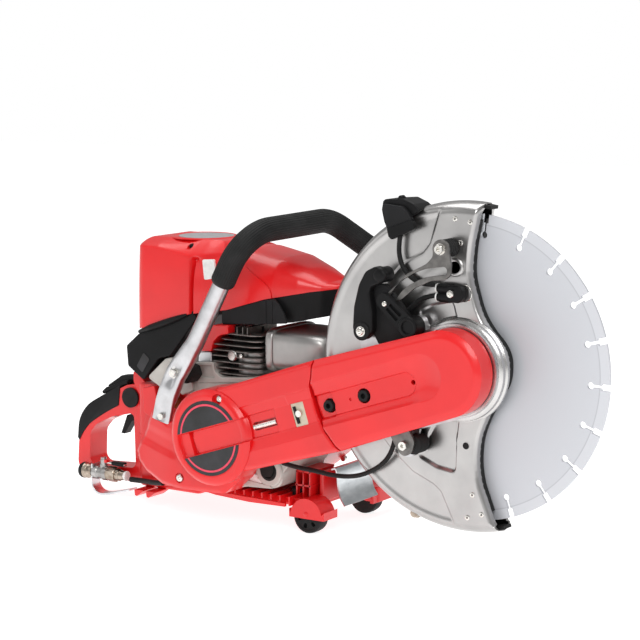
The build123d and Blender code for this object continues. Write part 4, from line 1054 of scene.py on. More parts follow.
def guardLink():  # flat steel link with an eye and a curved slot
    eye = [(-12.3 + 10.8 * math.cos(t), 139.0 + 10.8 * math.sin(t)) for t in np.linspace(math.radians(-12),
            math.radians(196), 22)]
    outline = np.array(eye + [(-22.6, 130), (-30.5, 121.3), (-55.9, 108.6), (-82, 84.5), (-68.6, 73.6),
                              (-46.2, 92.6),
                              (-24.0, 102.4), (-6.0, 104.6), (0.6, 110.5), (1.4, 122)])
    outline = np.vstack([outline[:21], roundCorners(outline[21:], [3, 9, 24, 2, 2, 24, 20, 7, 7, 3], 5,
            closed=False)])
    link = plate("guardLink", outline, -47.0, -43.5, "darkSteel", "guard", edge=0,
                 replaces=["guard_link"])
    slotLine = smoothLine([(-80, 72), (-66, 91.5), (-50, 102.6), (-32, 110.5), (-8.5, 114.6)], 24)
    tangent = np.gradient(slotLine, axis=0)
    tangent /= np.linalg.norm(tangent, axis=1)[:, None]
    normal = np.stack([-tangent[:, 1], tangent[:, 0]], axis=1)
    half = 4.6
    end = slotLine[-1]
    heading = math.atan2(tangent[-1][1], tangent[-1][0])
    cap = [(end[0] + half * math.cos(heading + t), end[1] + half * math.sin(heading + t))
           for t in np.linspace(-math.pi / 2, math.pi / 2, 9)[1:-1]]
    slotOutline = list(map(tuple, slotLine - normal * half)) + cap + list(map(tuple,
            (slotLine + normal * half)[::-1]))
    combine(link, prism(slotOutline, -60, -30, onSide), "DIFFERENCE")
    bevel(link, 0.7, 2)
    hexHead("linkBolt", (-12.3, 139.0), -52.5, -48.2, 10.0, "bolt", onSide, "guard", socket=2.4)
    boss("linkWasher", (-12.3, 139.0), [(-48.3, 2.0), (-48.3, 6.6), (-47.0, 6.8)], "bolt", "guard", 40)
    ribs = [(-43.5, 9.6)]
    for k in range(5):
        ribs += [(-42.6 + k * 4.0, 10.4), (-40.4 + k * 4.0, 10.4), (-39.9 + k * 4.0, 9.0),
                 (-39.4 + k * 4.0, 9.0)]
    boss("linkBush", (-12.3, 139.0), ribs + [(-22.2, 9.6)], "rubber", "guard", 48, 50)


def guardLever():  # curved hand lever on its pivot disc
    outline = roundCorners([(-127.2, 38), (-125.6, 66), (-119, 92), (-110, 108), (-97, 114.5), (-86, 113),
                            (-80, 105),
                            (-88, 96), (-102, 90), (-104, 84), (-100, 62), (-100, 38), (-113.6, 24)],
                           [12, 30, 30, 14, 10, 8, 5, 8, 5, 6, 20, 10, 14], 6)
    lever = plate("guardLever", outline, -51.5, -38.0, "black", "guard_lever_body", edge=0,
                  replaces=["guard_lever"])
    bevel(lever, 3.2, 4, 40)
    boss("leverKnob", (-91.0, 104.5), [(-52.4, 3.0), (-52.2, 6.2), (-50.6, 8.4), (-47.0, 9.2), (-32.0, 9.2),
                                       (-30.0, 8.0)],
         "black", "guard_lever_body", 48, 50)
    boss("leverDisc", (-113.6, 38.4), [(-53.2, 2.0), (-53.4, 9.6), (-52.6, 10.6), (-51.0, 10.8)], "blackSoft",
         "guard_lever_body", 48)
    roundHead("leverBolt", (-113.6, 38.4), -57.0, -53.3, 4.4, "bolt", onSide, "guard_lever_body", socket=0.5,
              washer=6.0)


def guardClampArm():  # ribbed clamp arm ending in a round eye
    ends = ((-83.5, 76.0, 9.0), (-50.0, 48.6, 11.5))
    direction = np.array([ends[1][0] - ends[0][0], ends[1][1] - ends[0][1]])
    span = np.linalg.norm(direction)
    heading = math.atan2(direction[1], direction[0])
    lean = math.asin((ends[1][2] - ends[0][2]) / span)
    outline = [(ends[0][0] + ends[0][2] * math.cos(t), ends[0][1] + ends[0][2] * math.sin(t))
               for t in np.linspace(heading + math.pi / 2 + lean, heading + 3 * math.pi / 2 - lean, 14)]
    outline += [(ends[1][0] + ends[1][2] * math.cos(t), ends[1][1] + ends[1][2] * math.sin(t))
                for t in np.linspace(heading - math.pi / 2 - lean, heading + math.pi / 2 + lean, 18)]
    arm = plate("clampArm", outline, -54.0, -47.6, "black", "root", edge=0,
                replaces=["guard_clamp"])
    along = direction / span
    across = np.array([-along[1], along[0]])
    for side in (-1, 1):
        rib = [np.array(ends[0][:2]) + along * a + across * b * side
               for a, b in ((9, 1.2), (28, 1.2), (28, 6.0), (9, 5.0))]
        combine(arm, prism([tuple(p) for p in roundCorners(rib, 1.2, 3)], -60, -51.0, onSide), "DIFFERENCE")
    combine(arm, prism(circle(ends[1][:2], 7.6), -60, -49.5, onSide), "DIFFERENCE")
    bevel(arm, 0.8, 2)
    boss("clampEye", ends[1][:2], [(-53.5, 7.6), (-55.6, 8.0), (-56.0, 9.0), (-55.6, 11.2), (-54.4, 12.0),
                                   (-36.0, 12.0),
                                   (-35.0, 11.0), (-35.0, 7.6)], "black", "root", 48)
    boss("clampEyeBolt", ends[1][:2], [(-50.6, 0.5), (-51.0, 3.2), (-50.2, 3.8), (-48.5, 3.9)], "bolt", "root",
         24)
    roundHead("clampScrew", (-81.0, 73.0), -56.1, -53.8, 3.1, "bolt", onSide, "root", socket=0.4)
    rear = roundCorners([(-104, 92), (-90, 94), (-80, 84), (-58, 60), (-44, 36), (-96, 20), (-108, 40)],
                        [5, 5, 5, 6, 5, 8, 8], 5)
    backing = plate("clampBacking", rear, -40.6, -32.0, "blackSoft", "root", edge=0)
    bevel(backing, 1.5, 3)


def waterManifold():
    body = roundCorners([(-12, 97), (4, 97.5), (9, 92), (9, 82), (4, 77.5), (-12, 78)], [4, 5, 5, 5, 5, 4], 5)
    block = plate("manifoldBody", body, -35.0, -22.0, "black", "guard", edge=0,
                  replaces=["water_manifold"])
    bevel(block, 2.0, 3)
    for name, level in (("manifoldTubeUpper", 92.6), ("manifoldTubeLower", 82.4)):
        lathe(name, [(-26.0, 3.2), (-26.0, 4.7), (-23.0, 5.0), (-22.4, 5.6), (-10.0, 6.0), (-6.0, 5.4),
                     (-6.0, 2.0)],
              (-29.2, level), "black", "guard", 36, (), "x")
        lathe(name + "Ring", [(-26.6, 3.0), (-26.6, 5.4), (-25.0, 5.4), (-25.0, 3.0)], (-29.2, level), "label",
              "guard", 36, (), "x")
    roundHead("manifoldBolt", (-4.6, 87.8), -39.6, -35.0, 4.3, "bolt", onSide, "guard", socket=0.5)
    boss("manifoldHoleRim", (5.0, 87.6), [(-20.5, 9.4), (-22.6, 10.0), (-23.2, 9.4), (-23.0, 8.6),
                                          (-20.5, 8.4)], "bolt",
         "guard", 48)


def guardClip():  # folded clip over the rim with a short cross tube
    face = roundCorners([(-99.4, 178), (-96, 164), (-88, 148.5), (-56.5, 162.5), (-64, 176), (-72, 183),
                         (-98, 185)],
                        [3, 6, 1.5, 1.5, 3, 3, 3], 4)
    front = plate("clipFace", face, -32.5, -25.0, "blackSoft", "guard", edge=0,
                  replaces=["guard_handle"])
    bevel(front, 1.2, 3)
    lower = roundCorners([(-92, 157), (-89.5, 147.4), (-85.5, 144.2), (-54.2, 158.4), (-57, 166.5), (-60, 169)],
                         [2, 2, 2, 2, 2, 2], 3)
    bevel(plate("clipLowerLip", lower, -34.0, -26.0, "black", "guard", edge=0), 1.4, 3)
    top = roundCorners([(-103, 177.5), (-101, 189.5), (-74, 191.5), (-60, 186), (-51, 179), (-63, 171.5),
                        (-98, 174)],
                       [4, 5, 5, 8, 2, 3, 3], 5)
    saddle = plate("clipSaddle", top, -27.0, 7.5, "black", "guard", edge=0)
    bevel(saddle, 3.0, 4)
    boss("clipKnob", (-79.0, 191.0), [(-25.0, 0.5), (-24.8, 3.0), (-23.4, 3.8), (-18.0, 3.8), (-17.0, 3.0)],
         "black", "guard", 28)


guardLink()
guardLever()
guardClampArm()
waterManifold()
guardClip()
boss("stopBush", (-49.0, -88.6), [(-44.5, 10.4)] + [(-43.5 + 0.9 * k,
        11.4 - 1.2 * (k % 3 == 2)) for k in range(22)] + [(-22.5, 10.0)],
     "rubber", "root", 48, 50)
stopTab = roundCorners([(-84, -66), (-67, -95), (-57.5, -104), (-46.5, -96), (-43.5, -84), (-50, -72),
                        (-60, -56)],
                       [4, 10, 10, 10, 10, 6, 4], 6)
bevel(plate("stopTab", stopTab, -49.5, -45.0, "darkSteel", "root", edge=0), 0.8, 2)
hexHead("stopTabBolt", (-57.1, -89.5), -54.0, -49.5, 10.0, "bolt", onSide, "root", socket=2.2)
boss("rimBolt", (-64.5, -177.0), [(-14.0, 0.5), (-14.0, 5.0), (-9.0, 5.4), (-8.0, 6.6), (-4.0, 6.6)], "nickel",
     "guard", 36)
print("guard fittings done")


# filter cover: a rounded drum with a slanted roof edge and a stepped side
def drumSide(name, sign, middle=61.5):
    outline = roundCorners([(-487.5, 4), (-470, 7.5), (-438, 17.5), (-407, 27.5), (-380, 38), (-352, 38),
                            (-352, 104), (-366, 121.5), (-480, 121.5), (-487.5, 108)],
                           [3, 10, 10, 10, 6, 2, 14, 10, 12, 12], 6)

    def height(x, z, edge):
        fromRear = np.clip(1 - (x + 487.5) / 15.0, 0, 1)
        depth = 15.0 * (1 - np.sqrt(np.clip(1 - fromRear ** 2, 0, 1)))
        roofStart = np.interp(x, [-487, -453, -400, -352], [110, 110, 100.5, 96])
        fall = np.clip((z - roofStart) / (122 - roofStart), 0, 1)
        depth = depth + 26.0 * fall ** 1.35
        lean = 3.0 * np.clip((z - 30) / 80, 0, 1) ** 2
        fold = smoothStep(-401.5, -396.0, x) * smoothStep(103, 96, z - (x + 400) * 0.15)
        ridge = smoothStep(-393.5, -386.5, x)
        depth = depth + lean + fold * (9.0 - 5.5 * ridge) + 1.6 * smoothStep(-386, -366, x)
        return -2.0 + depth

    def toPoint(x, z, y):
        return (x, y, z) if sign < 0 else (x, 2 * middle - y, z)

    holes = []
    if sign < 0:
        holes = [prism(circle((-408.8, 113.0), 3.6, 28), -10, 22, onSide)]
    moulded(name, outline, height, middle, toPoint, "red", "root",
            ["filter_cover"], step=1.1, holes=holes)


def filterCover():
    drumSide("filterCoverNear", -1)
    drumSide("filterCoverFar", 1)
    # dished roof plate with a pale round plate lying in it
    lathe("roofPlate", [(120.5, 44.0), (122.0, 43.0), (122.6, 41.0), (122.4, 39.0), (121.9, 38.0),
                        (121.9, 0.1)],
          (-424, 62), "red", "root", 96, (), "z")
    lathe("roofDisc", [(121.7, 35.5), (122.3, 35.2), (122.5, 34.4), (122.5, 0.1)], (-420, 62),
          "labelGrey", "root", 96, (), "z")
    roundHead("roofScrew", (-408.8, 113.0), 14.0, 20.0, 2.6, "blackSoft", onSide, socket=0.45)
    # blank white plate where the maker fixes a notice
    corners = np.array([(-381.5, 1.6, 99.4), (-365.0, 2.8, 100.6), (-359.0, 0.0, 78.0), (-377.0, -0.6, 74.5)])
    blankPlate("blankLabel", corners, "label", back=3.5)


# thin four-cornered plate
def blankPlate(name, corners, look, thickness=0.5, body="root", back=0.6):
    corners = np.array(corners, float)
    centre = corners.mean(0)
    axisA = corners[1] - corners[0]
    axisA /= np.linalg.norm(axisA)
    normal = np.cross(axisA, corners[3] - corners[0])
    normal /= np.linalg.norm(normal)
    if normal[1] > 0:
        normal = -normal
    axisB = np.cross(normal, axisA)
    flat = [((c - centre) @ axisA, (c - centre) @ axisB) for c in corners]
    outline = roundCorners(flat, 2.2, 5)
    front = [tuple(centre + a * axisA + b * axisB + normal * thickness) for a, b in outline]
    rear = [tuple(centre + a * axisA + b * axisB - normal * back) for a, b in outline]
    count = len(outline)
    faces = [(i, (i + 1) % count, count + (i + 1) % count, count + i) for i in range(count)]
    faces += [list(range(count))[::-1], list(range(count, 2 * count))]
    return finishPiece(rawObject(name, front + rear, faces), look, body)


# engine cover: an arch that narrows to a nose, over a black band
coverLow = ([-400, -343, -290, -236, -192], [30, 39.6, 56.0, 67.0, 73.0])
coverTop = ([-400, -364, -325, -281, -252, -238, -222, -205], [114, 114, 112.5, 103.5, 91, 84, 76.0, 72.5])
coverHalf = ([-400, -340, -310, -280, -250, -225, -210, -203.5], [59.5, 59.5, 58, 54, 46, 33, 19, 0.5])


def archLoft(name, stations, proud, power, edgeOf, look, replaces=(), shell=2.4, rows=120, columns=96):
    points = []
    angles = np.linspace(0, math.pi, columns)
    for share in np.linspace(0, 1, rows):
        for angle in angles:
            c, s = math.cos(angle), math.sin(angle)
            x = stations[0] + (edgeOf(s) - stations[0]) * share
            half = np.interp(x, *coverHalf) + proud
            low, top = np.interp(x, *coverLow), np.interp(x, *coverTop) + proud
            y = 62.0 - half * math.copysign(abs(c) ** (2 / power), c)
            z = low + (top - low) * abs(s) ** (2 / power)
            points.append((x, y, z))
    piece = rawObject(name, points, gridFaces(rows, columns))
    thicken(piece, shell, 1)
    settle(piece)
    turnOutward(piece)
    finishPiece(piece, look, "root", replaces, 40)
    return piece


def engineCover():
    archLoft("engineCoverDome", (-392,), 0.0, 3.4, lambda s: -203.6, "red", ["engine_cover"],
             2.0, 150, 110)
    # the wing of the filter cover laps over the dome and ends in a curved edge
    archLoft("filterCoverWing", (-394,), 2.2, 3.4,
             lambda s: -280.0 - 62.0 * smoothStep(0.0, 1.0, s) ** 0.8, "red", (), 1.8, 70, 110)
    slotPath = [(-262, 33.5, 93.2), (-245, 36.5, 85.8)]
    sweep("domeSlot", dense(slotPath, 1.0), lambda share: (
        2.0 * np.cos(np.linspace(0, 2 * math.pi, 16, endpoint=False)),
        1.0 * np.sin(np.linspace(0, 2 * math.pi, 16, endpoint=False))), "blackSoft", "root")


# the cover's outline from above, near side round the nose to the far side
def planCurve(inset, start, nose, count=120):
    t = np.linspace(0, 1, count)
    x = start + (nose - inset - start) * np.sin(np.linspace(0, math.pi, count))
    half = np.interp(x, *coverHalf) - inset
    half = np.maximum(half, 0.3)
    side = np.where(t < 0.5, -1, 1)
    return x, 62.0 + side * half


def shroudBand():
    x, y = planCurve(1.2, -352, -203.5)
    rows = len(x)
    low = np.interp(x, [-352, -286, -256, -200], [20.5, 26.0, 29.0, 41.0])
    top = np.interp(x, *coverLow) + 1.0
    points = []
    levels = np.linspace(0, 1, 14)
    for i in range(rows):
        for share in levels:
            yy = 62 + (y[i] - 62) * (1 - 0.02 * (1 - share)) - math.copysign(0.4, y[i] - 62)
            points.append((x[i] - (2.0 * (1 - share) if x[i] > -240 else 0), yy,
                           low[i] + (top[i] - low[i]) * share))
    piece = rawObject("shroudBand", points, gridFaces(rows, len(levels)))
    thicken(piece, 2.2, 1)
    settle(piece)
    turnOutward(piece)
    finishPiece(piece, "black", "root", ["cylinder_shroud"], 40)
    panel = roundCorners([(-352, 21), (-285, 26.4), (-254, 29.4), (-259, 41), (-266, 51.5), (-273.5, 58.0),
                          (-290, 55.0),
                          (-352, 38)], [3, 0, 2, 10, 12, 3, 10, 4], 5)
    bevel(plate("shroudPanel", panel, 0.6, 4.2, "blackSoft", "root", edge=0), 0.8, 2)
    for px in (-285.2, -276.0):
        line = [(px, 0.4, 27.0), (px, 0.4, 55.0)]
        sweep("shroudRib%d" % int(-px), dense(line, 2.0), roundSection(0.7, 12), "blackSoft", "root")


def intakeBox():
    outline = roundCorners([(-505, -19), (-486, -3), (-468, 8.5), (-440, 20), (-412, 30), (-397, 34),
                            (-392, 24),
                            (-434, -27), (-452, -31), (-478, -62), (-503, -45)],
                                    [5, 8, 20, 20, 10, 3, 3, 8, 8, 5, 5], 6)
    box = plate("intakeBox", outline, 1.5, 120.0, "black", "root", edge=0,
                replaces=["intake_box"])
    bevel(box, 2.4, 3, 40)
    lipPath = [(a[0], a[1], a[2]) for a in np.stack([np.interp(np.linspace(0, 1, 60), np.linspace(0, 1, 4),
            q) for q in
            ([-483, -460, -432, -404], [4.0, -0.5, -1.2, -0.5], [0.5, 8.5, 18.5, 29.0])], axis=1)]
    angles = np.linspace(0, 2 * math.pi, 28, endpoint=False)
    sweep("intakeLip", lipPath, lambda share: (
        (1.5 + 5.5 * math.sin(math.pi * min(1, 0.08 + share * 0.9)) ** 0.6) * np.cos(angles),
        (1.0 + 3.6 * math.sin(math.pi * min(1, 0.08 + share * 0.9)) ** 0.6) * np.sin(angles)),
        "black", "root")
    blankPlate("intakePlate", [(-476.0, 1.3, -25.5), (-466.5, 1.3, -33.5), (-478.5, 1.3, -52.0),
                               (-487.5, 1.3, -44.0)],
               "badge", 0.3)


def redCorner():  # red air guide and cast lug beside the fins
    outline = roundCorners([(-384, -14.5), (-363.3, -13.0), (-359.7, -1.2), (-350, 8), (-337, 10.8),
                            (-337, 21.3),
                            (-362.3, 19.8), (-372, 9.0)], [1.5, 1.5, 10, 12, 1.5, 1.5, 6, 10], 6)
    bevel(plate("airGuide", outline, -7.0, 30.0, "red", "root", edge=0), 1.2, 3)
    lug = roundCorners([(-383, -15.5), (-363.2, -14.0), (-363.4, -27), (-384, -28.5)], 2, 4)
    bevel(plate("cylinderLug", lug, -6.0, 26.0, "aluminium", "root", edge=0), 1.2, 2)


filterCover()
engineCover()
shroudBand()
intakeBox()
redCorner()
print("top covers done")


# cylinder, muffler and crankcase
def joined(name, solids, look, body, replaces=()):  # several closed shapes as one piece
    points, faces = [], []
    for cornerPoints, cornerFaces in solids:
        start = len(points)
        points += list(cornerPoints)
        faces += [tuple(start + i for i in face) for face in cornerFaces]
    return finishPiece(rawObject(name, points, faces), look, body, replaces)


def flatOn(a, b, level):  # plan point at a height
    return (a, b, level)


cylinderSizes = {"fins": 9, "lowest": -47.0, "pitch": 7.1, "thickness": 1.5, "left": -374, "right": -291,
                 "near": -4.5,
                 "far": 66, "barrel": 23}


def cylinderPiece():
    sizes = cylinderSizes
    fins = []
    for i in range(sizes["fins"]):
        level = sizes["lowest"] + i * sizes["pitch"]
        left = sizes["left"] + (18 if i > 6 else 6 * (i < 1))
        outline = roundCorners([(left, sizes["near"] + 7), (left + 12, sizes["near"]),
                                (sizes["right"] - 10, sizes["near"]),
                                (sizes["right"], sizes["near"] + 6), (sizes["right"], sizes["far"]),
                                        (left, sizes["far"])],
                               [5, 8, 8, 5, 12, 12], 5)
        fins.append(slabSolid(outline, level, level + sizes["thickness"], flatOn))
    bevel(joined("cylinderFins", fins, "fins", "root", ["cylinder"]), 0.45, 2)
    lathe("cylinderBarrel", [(-62, sizes["barrel"]), (18, sizes["barrel"]), (20, sizes["barrel"] - 2),
                             (20, 0.1)], (-333, 30),
          "blackSoft", "root", 48, (), "z")
    ribs = [slabSolid([(x, -2.5), (x + 1.3, -2.5), (x + 1.3, 60), (x, 60)], 11, 20.0, flatOn)
            for x in (-327, -318.5, -311.5)]
    joined("cylinderTopRibs", ribs, "fins", "root")
    boss("valveCollar", (-331.5, -15.8), [(-2, 6.6), (-5.6, 6.6), (-6.4, 5.8), (-6.4, 3.4), (-5.2, 2.8),
                                          (-2, 2.8)], "steel",
         "root", 40)
    roundHead("cylinderScrew", (-318.5, -15.2), -6.6, -2.0, 2.6, "bolt", onSide, socket=0)


mufflerSizes = {"middle": (50.0, -6.5), "half": (50.0, 27.5), "power": 6.0}


def mufflerPiece():
    stations = [(-287.0, 0.80), (-287.0, 0.93), (-285.8, 0.985), (-283.5, 1.0), (-279.0, 1.0), (-276.8, 0.985),
                (-276.2, 0.95), (-275.9, 0.915), (-275.0, 0.905), (-273.5, 0.912), (-270, 0.918), (-258, 0.92),
                        (-244, 0.905),
                (-232, 0.89), (-222, 0.865), (-213, 0.80), (-207, 0.68), (-203, 0.48), (-201, 0.2)]
    angles = np.linspace(0, 2 * math.pi, 96, endpoint=False)
    points = []
    for x, share in stations:
        cosines, sines = np.cos(angles), np.sin(angles)
        reach = (np.abs(cosines) ** mufflerSizes["power"] + np.abs(sines) ** mufflerSizes["power"]) \
            ** (-1 / mufflerSizes["power"])
        inset = (1 - share) * 27.5
        y = mufflerSizes["middle"][0] + (mufflerSizes["half"][0] - inset) * reach * cosines
        z = mufflerSizes["middle"][1] + (mufflerSizes["half"][1] - inset) * reach * sines
        points += [(x, yy, zz) for yy, zz in zip(y, z)]
    faces = gridFaces(len(stations), len(angles), False, True)
    faces += [list(range(96))[::-1], list(range((len(stations) - 1) * 96, len(stations) * 96))]
    finishPiece(rawObject("mufflerShell", points, faces), "muffler", "root", ["muffler"], 50)
    lathe("mufflerOutlet", [(90, 8.0), (104, 8.0), (105, 7.2), (104, 6.6), (92, 6.6), (92, 0.1)], (-232, 4),
          "muffler", "root",
          40)
    for x, z in ((-262, 8), (-262, -20)):
        roundHead("mufflerBolt%d" % int(z + 30), (x, z), -101.8, -97.0, 3.4, "steel",
                  lambda px, pz, py: (px, -py, pz), socket=0.45)


def crankcasePieces():
    deck = roundCorners([(-386, -28.5), (-358.3, -26), (-356.6, -37), (-347, -44), (-289.5, -39), (-256, -36),
                         (-256, -66),
                         (-262, -72), (-392, -72), (-402, -62), (-402, -52), (-388, -51)],
                        [2, 2, 6, 8, 0, 3, 4, 4, 4, 4, 2, 2], 6)
    piece = plate("crankDeck", deck, -9.0, 70.0, "cast", "root", edge=0,
                  replaces=["crankcase_right"])
    pocket = roundCorners([(-381, -31.8), (-361.5, -30), (-360, -38.5), (-355, -45.5), (-379, -47)], 1.5, 4)
    groove = [(-383, -53.2), (-300, -46.6), (-300, -47.8), (-383, -54.4)]
    cut(piece, [prism(pocket, -12, -5.5, onSide), prism(groove, -12, -7.8, onSide)])
    bevel(piece, 0.8, 2, 50)
    sump = roundCorners([(-386, -66), (-262, -66), (-236, -96), (-229, -130), (-246, -150), (-249, -168),
                         (-266, -172.5),
                         (-300, -174), (-357, -186), (-374, -172), (-390, -120)],
                                 [5, 8, 20, 14, 4, 14, 14, 10, 10, 14, 24], 6)
    block = plate("crankCasting", sump, -20.0, 71.5, "cast", "root", edge=0,
                  replaces=["crankcase_left"])
    bevel(block, 2.0, 3, 45)
    boss("mountBoss", (-266, -150), [(60, 20.0), (-19, 20.0), (-21.5, 19.2), (-22.6, 17.6), (-22.6, 12.0),
                                     (-19, 12.0),
                                     (-19, 3.0), (60, 3.0)], "cast", "root", 72)
    boss("mountPlug", (-266, -150), [(-10, 11.9), (-22.8, 11.9), (-23.4, 11.0), (-23.4, 8.8), (-21.2, 7.8),
                                     (-21.4, 4.0),
                                     (-22.0, 0.1)], "rubber", "root", 64)
    foot = roundCorners([(-345, -160), (-262, -168), (-262, -170.5), (-300, -171), (-352, -183)], 1.0, 3)
    bevel(plate("sumpRib", foot, -23.0, -19.0, "cast", "root", edge=0), 0.5, 2)
    ratingPlate = [(-303.5, -153.5), (-277.8, -157.8), (-276.4, -168.2), (-301.5, -170.0)]
    blankPlate("ratingPlate", [(x, -21.0, z) for x, z in ratingPlate], "label", 0.8)
    for x, z in ((-301.0, -157.0), (-281.0, -160.2)):
        boss("plateRivet%d" % int(-x), (x, z), [(-21.0, 1.6), (-22.2, 1.5), (-22.6, 0.9), (-22.7, 0.1)],
             "nickel", "root",
             20)
    casting = roundCorners([(-441.3, -30.5), (-432.7, -28), (-404, -30), (-392, -44), (-400, -70), (-438, -75),
                            (-456, -64),
                            (-470.4, -56.7)], [4, 3, 8, 8, 8, 8, 6, 4], 6)
    bevel(plate("carburettorHousing", casting, 0.0, 60.0, "cast", "root", edge=0), 2.0, 3, 45)
    mountShape = roundCorners([(-389, -28), (-377, -31), (-373, -42), (-381, -52), (-397, -51.6)], 5, 6)
    bevel(plate("handleBuffer", mountShape, -33.0, -10.0, "rubber", "root", edge=0), 2.0, 3, 45)
    lug = roundCorners([(-405.6, -55.8), (-387.3, -51.8), (-386.4, -64), (-405.7, -72)], 2.5, 5)
    bevel(plate("deckLug", lug, -14.0, 4.0, "cast", "root", edge=0), 1.2, 2, 45)


cylinderPiece()
mufflerPiece()
crankcasePieces()
print("engine castings done")


# front handle: a round tube pressed flat where it is bolted on, and its ribbed grip
def bentPath(corners, radii, step=3.0):  # runs and true arcs through corners in space
    corners = [np.array(c, float) for c in corners]
    points = [corners[0]]
    for before, corner, after, radius in zip(corners, corners[1:], corners[2:], radii):
        inward = (before - corner) / np.linalg.norm(before - corner)
        outward = (after - corner) / np.linalg.norm(after - corner)
        half = math.acos(float(np.clip(inward @ outward, -1, 1))) / 2
        middle = (inward + outward) / np.linalg.norm(inward + outward)
        centre = corner + middle * radius / math.sin(half)
        start = corner + inward * radius / math.tan(half)
        finishAt = corner + outward * radius / math.tan(half)
        turn = math.pi - 2 * half
        armA, armB = start - centre, finishAt - centre
        for k in range(13):
            share = k / 12
            points.append(centre + (math.sin((1 - share) * turn) * armA
                                    + math.sin(share * turn) * armB) / math.sin(turn))
    points.append(corners[-1])
    return dense(points, step)


handleSizes = {"tube": 11.0, "grip": 15.0, "ribs": 30, "ribDepth": 0.55,
               "route": [(-408, -50, -98), (-402, -50, -74), (-385, -50, -38), (-354, -50, 5), (-280, -50, 142),
                         (-263, 108, 147), (-205, 182, 80), (-205, 182, -148), (-205, 158, -190)],
               "radii": [26, 40, 120, 48, 42, 30, 30]}


def frontHandle():
    path = bentPath(handleSizes["route"], handleSizes["radii"], 2.0)
    lengths = np.concatenate([[0], np.cumsum(np.linalg.norm(np.diff(np.array(path), axis=0), axis=1))])
    total = lengths[-1]
    angles = np.linspace(0, 2 * math.pi, 48, endpoint=False)

    def section(share):
        run = share * total
        flat = 1 - float(smoothStep(70, 128, run))
        foot = 1 - float(smoothStep(18, 44, run))
        farFoot = 1 - float(smoothStep(20, 50, total - run))
        press = max(flat, farFoot)
        across = 11.0 + 2.6 * press
        deep = 11.0 - 3.2 * press - 3.6 * foot - 2.0 * farFoot
        power = 2.0 + 1.4 * press
        reach = (np.abs(np.cos(angles)) ** power + np.abs(np.sin(angles)) ** power) ** (-1 / power)
        u, v = deep * reach * np.cos(angles), across * reach * np.sin(angles)
        dimple = math.exp(-((run - 68) / 17.0) ** 4) + 0.6 * math.exp(-((run - 10) / 8.0) ** 4)
        u = u - 3.6 * dimple * (u > 0) * np.exp(-(v / 6.0) ** 4)
        return u, v

    sweep("frontHandleTube", path, section, "aluminium", "root", ["front_handle_tube"])
    corner, knee = np.array((-280, -50, 142.0)), np.array((-380, -50, -44.0))
    gripPath = bentPath([corner + (knee - corner) * 0.34, corner, (-263, 108, 147),
                         np.array((-263, 108, 147)) + 0.62 * (np.array((-205, 182, 80)) - np.array((-263, 108,
                                 147)))],
                        [48, 42], 2.0)
    gripAngles = np.linspace(0, 2 * math.pi, handleSizes["ribs"] * 8, endpoint=False)

    def gripSection(share):
        end = min(share, 1 - share)
        radius = handleSizes["grip"] - 2.2 * (1 - float(smoothStep(0.0, 0.012, end)))
        shape = handleSizes["ribDepth"] * float(smoothStep(0.008, 0.03, end))
        radius = radius - shape * (0.5 - 0.5 * np.cos(gripAngles * handleSizes["ribs"])) ** 3
        return radius * np.cos(gripAngles), radius * np.sin(gripAngles)

    sweep("frontHandleGrip", gripPath, gripSection, "grip", "root", ["front_handle_grip"], 60)
    hexHead("handleBolt", (-384.5, -35.5), -59.0, -53.0, 9.0, "bolt", onSide)
    lathe("handleBoltWasher", [(-52.5, 7.2), (-54.2, 7.2), (-54.5, 6.6), (-54.5, 0.1)], (-384.5, -35.5),
          "bolt", "root", 40)
    hexHead("handleFootBolt", (-405.8, -92.0), -56.0, -50.5, 8.0, "bolt", onSide)


frontHandle()
print("front handle done")


# rear handle, its post and grip
rearHandleSizes = {"near": 28.5, "far": 63.5, "edge": 8.5, "gripProud": 1.0}
handleOuter = roundCorners([(-484, -72), (-525, -76), (-570, -98), (-592, -112), (-605, -131), (-609, -161),
                            (-611, -190),
                            (-600, -203), (-484, -204)], [4, 20, 30, 20, 26, 40, 16, 14, 4], 8)
handleInner = roundCorners([(-515, -112), (-552, -121), (-578, -133), (-589, -145), (-590.5, -182),
                            (-583, -189),
                            (-513, -185)], [6, 30, 16, 14, 12, 12, 8], 8)


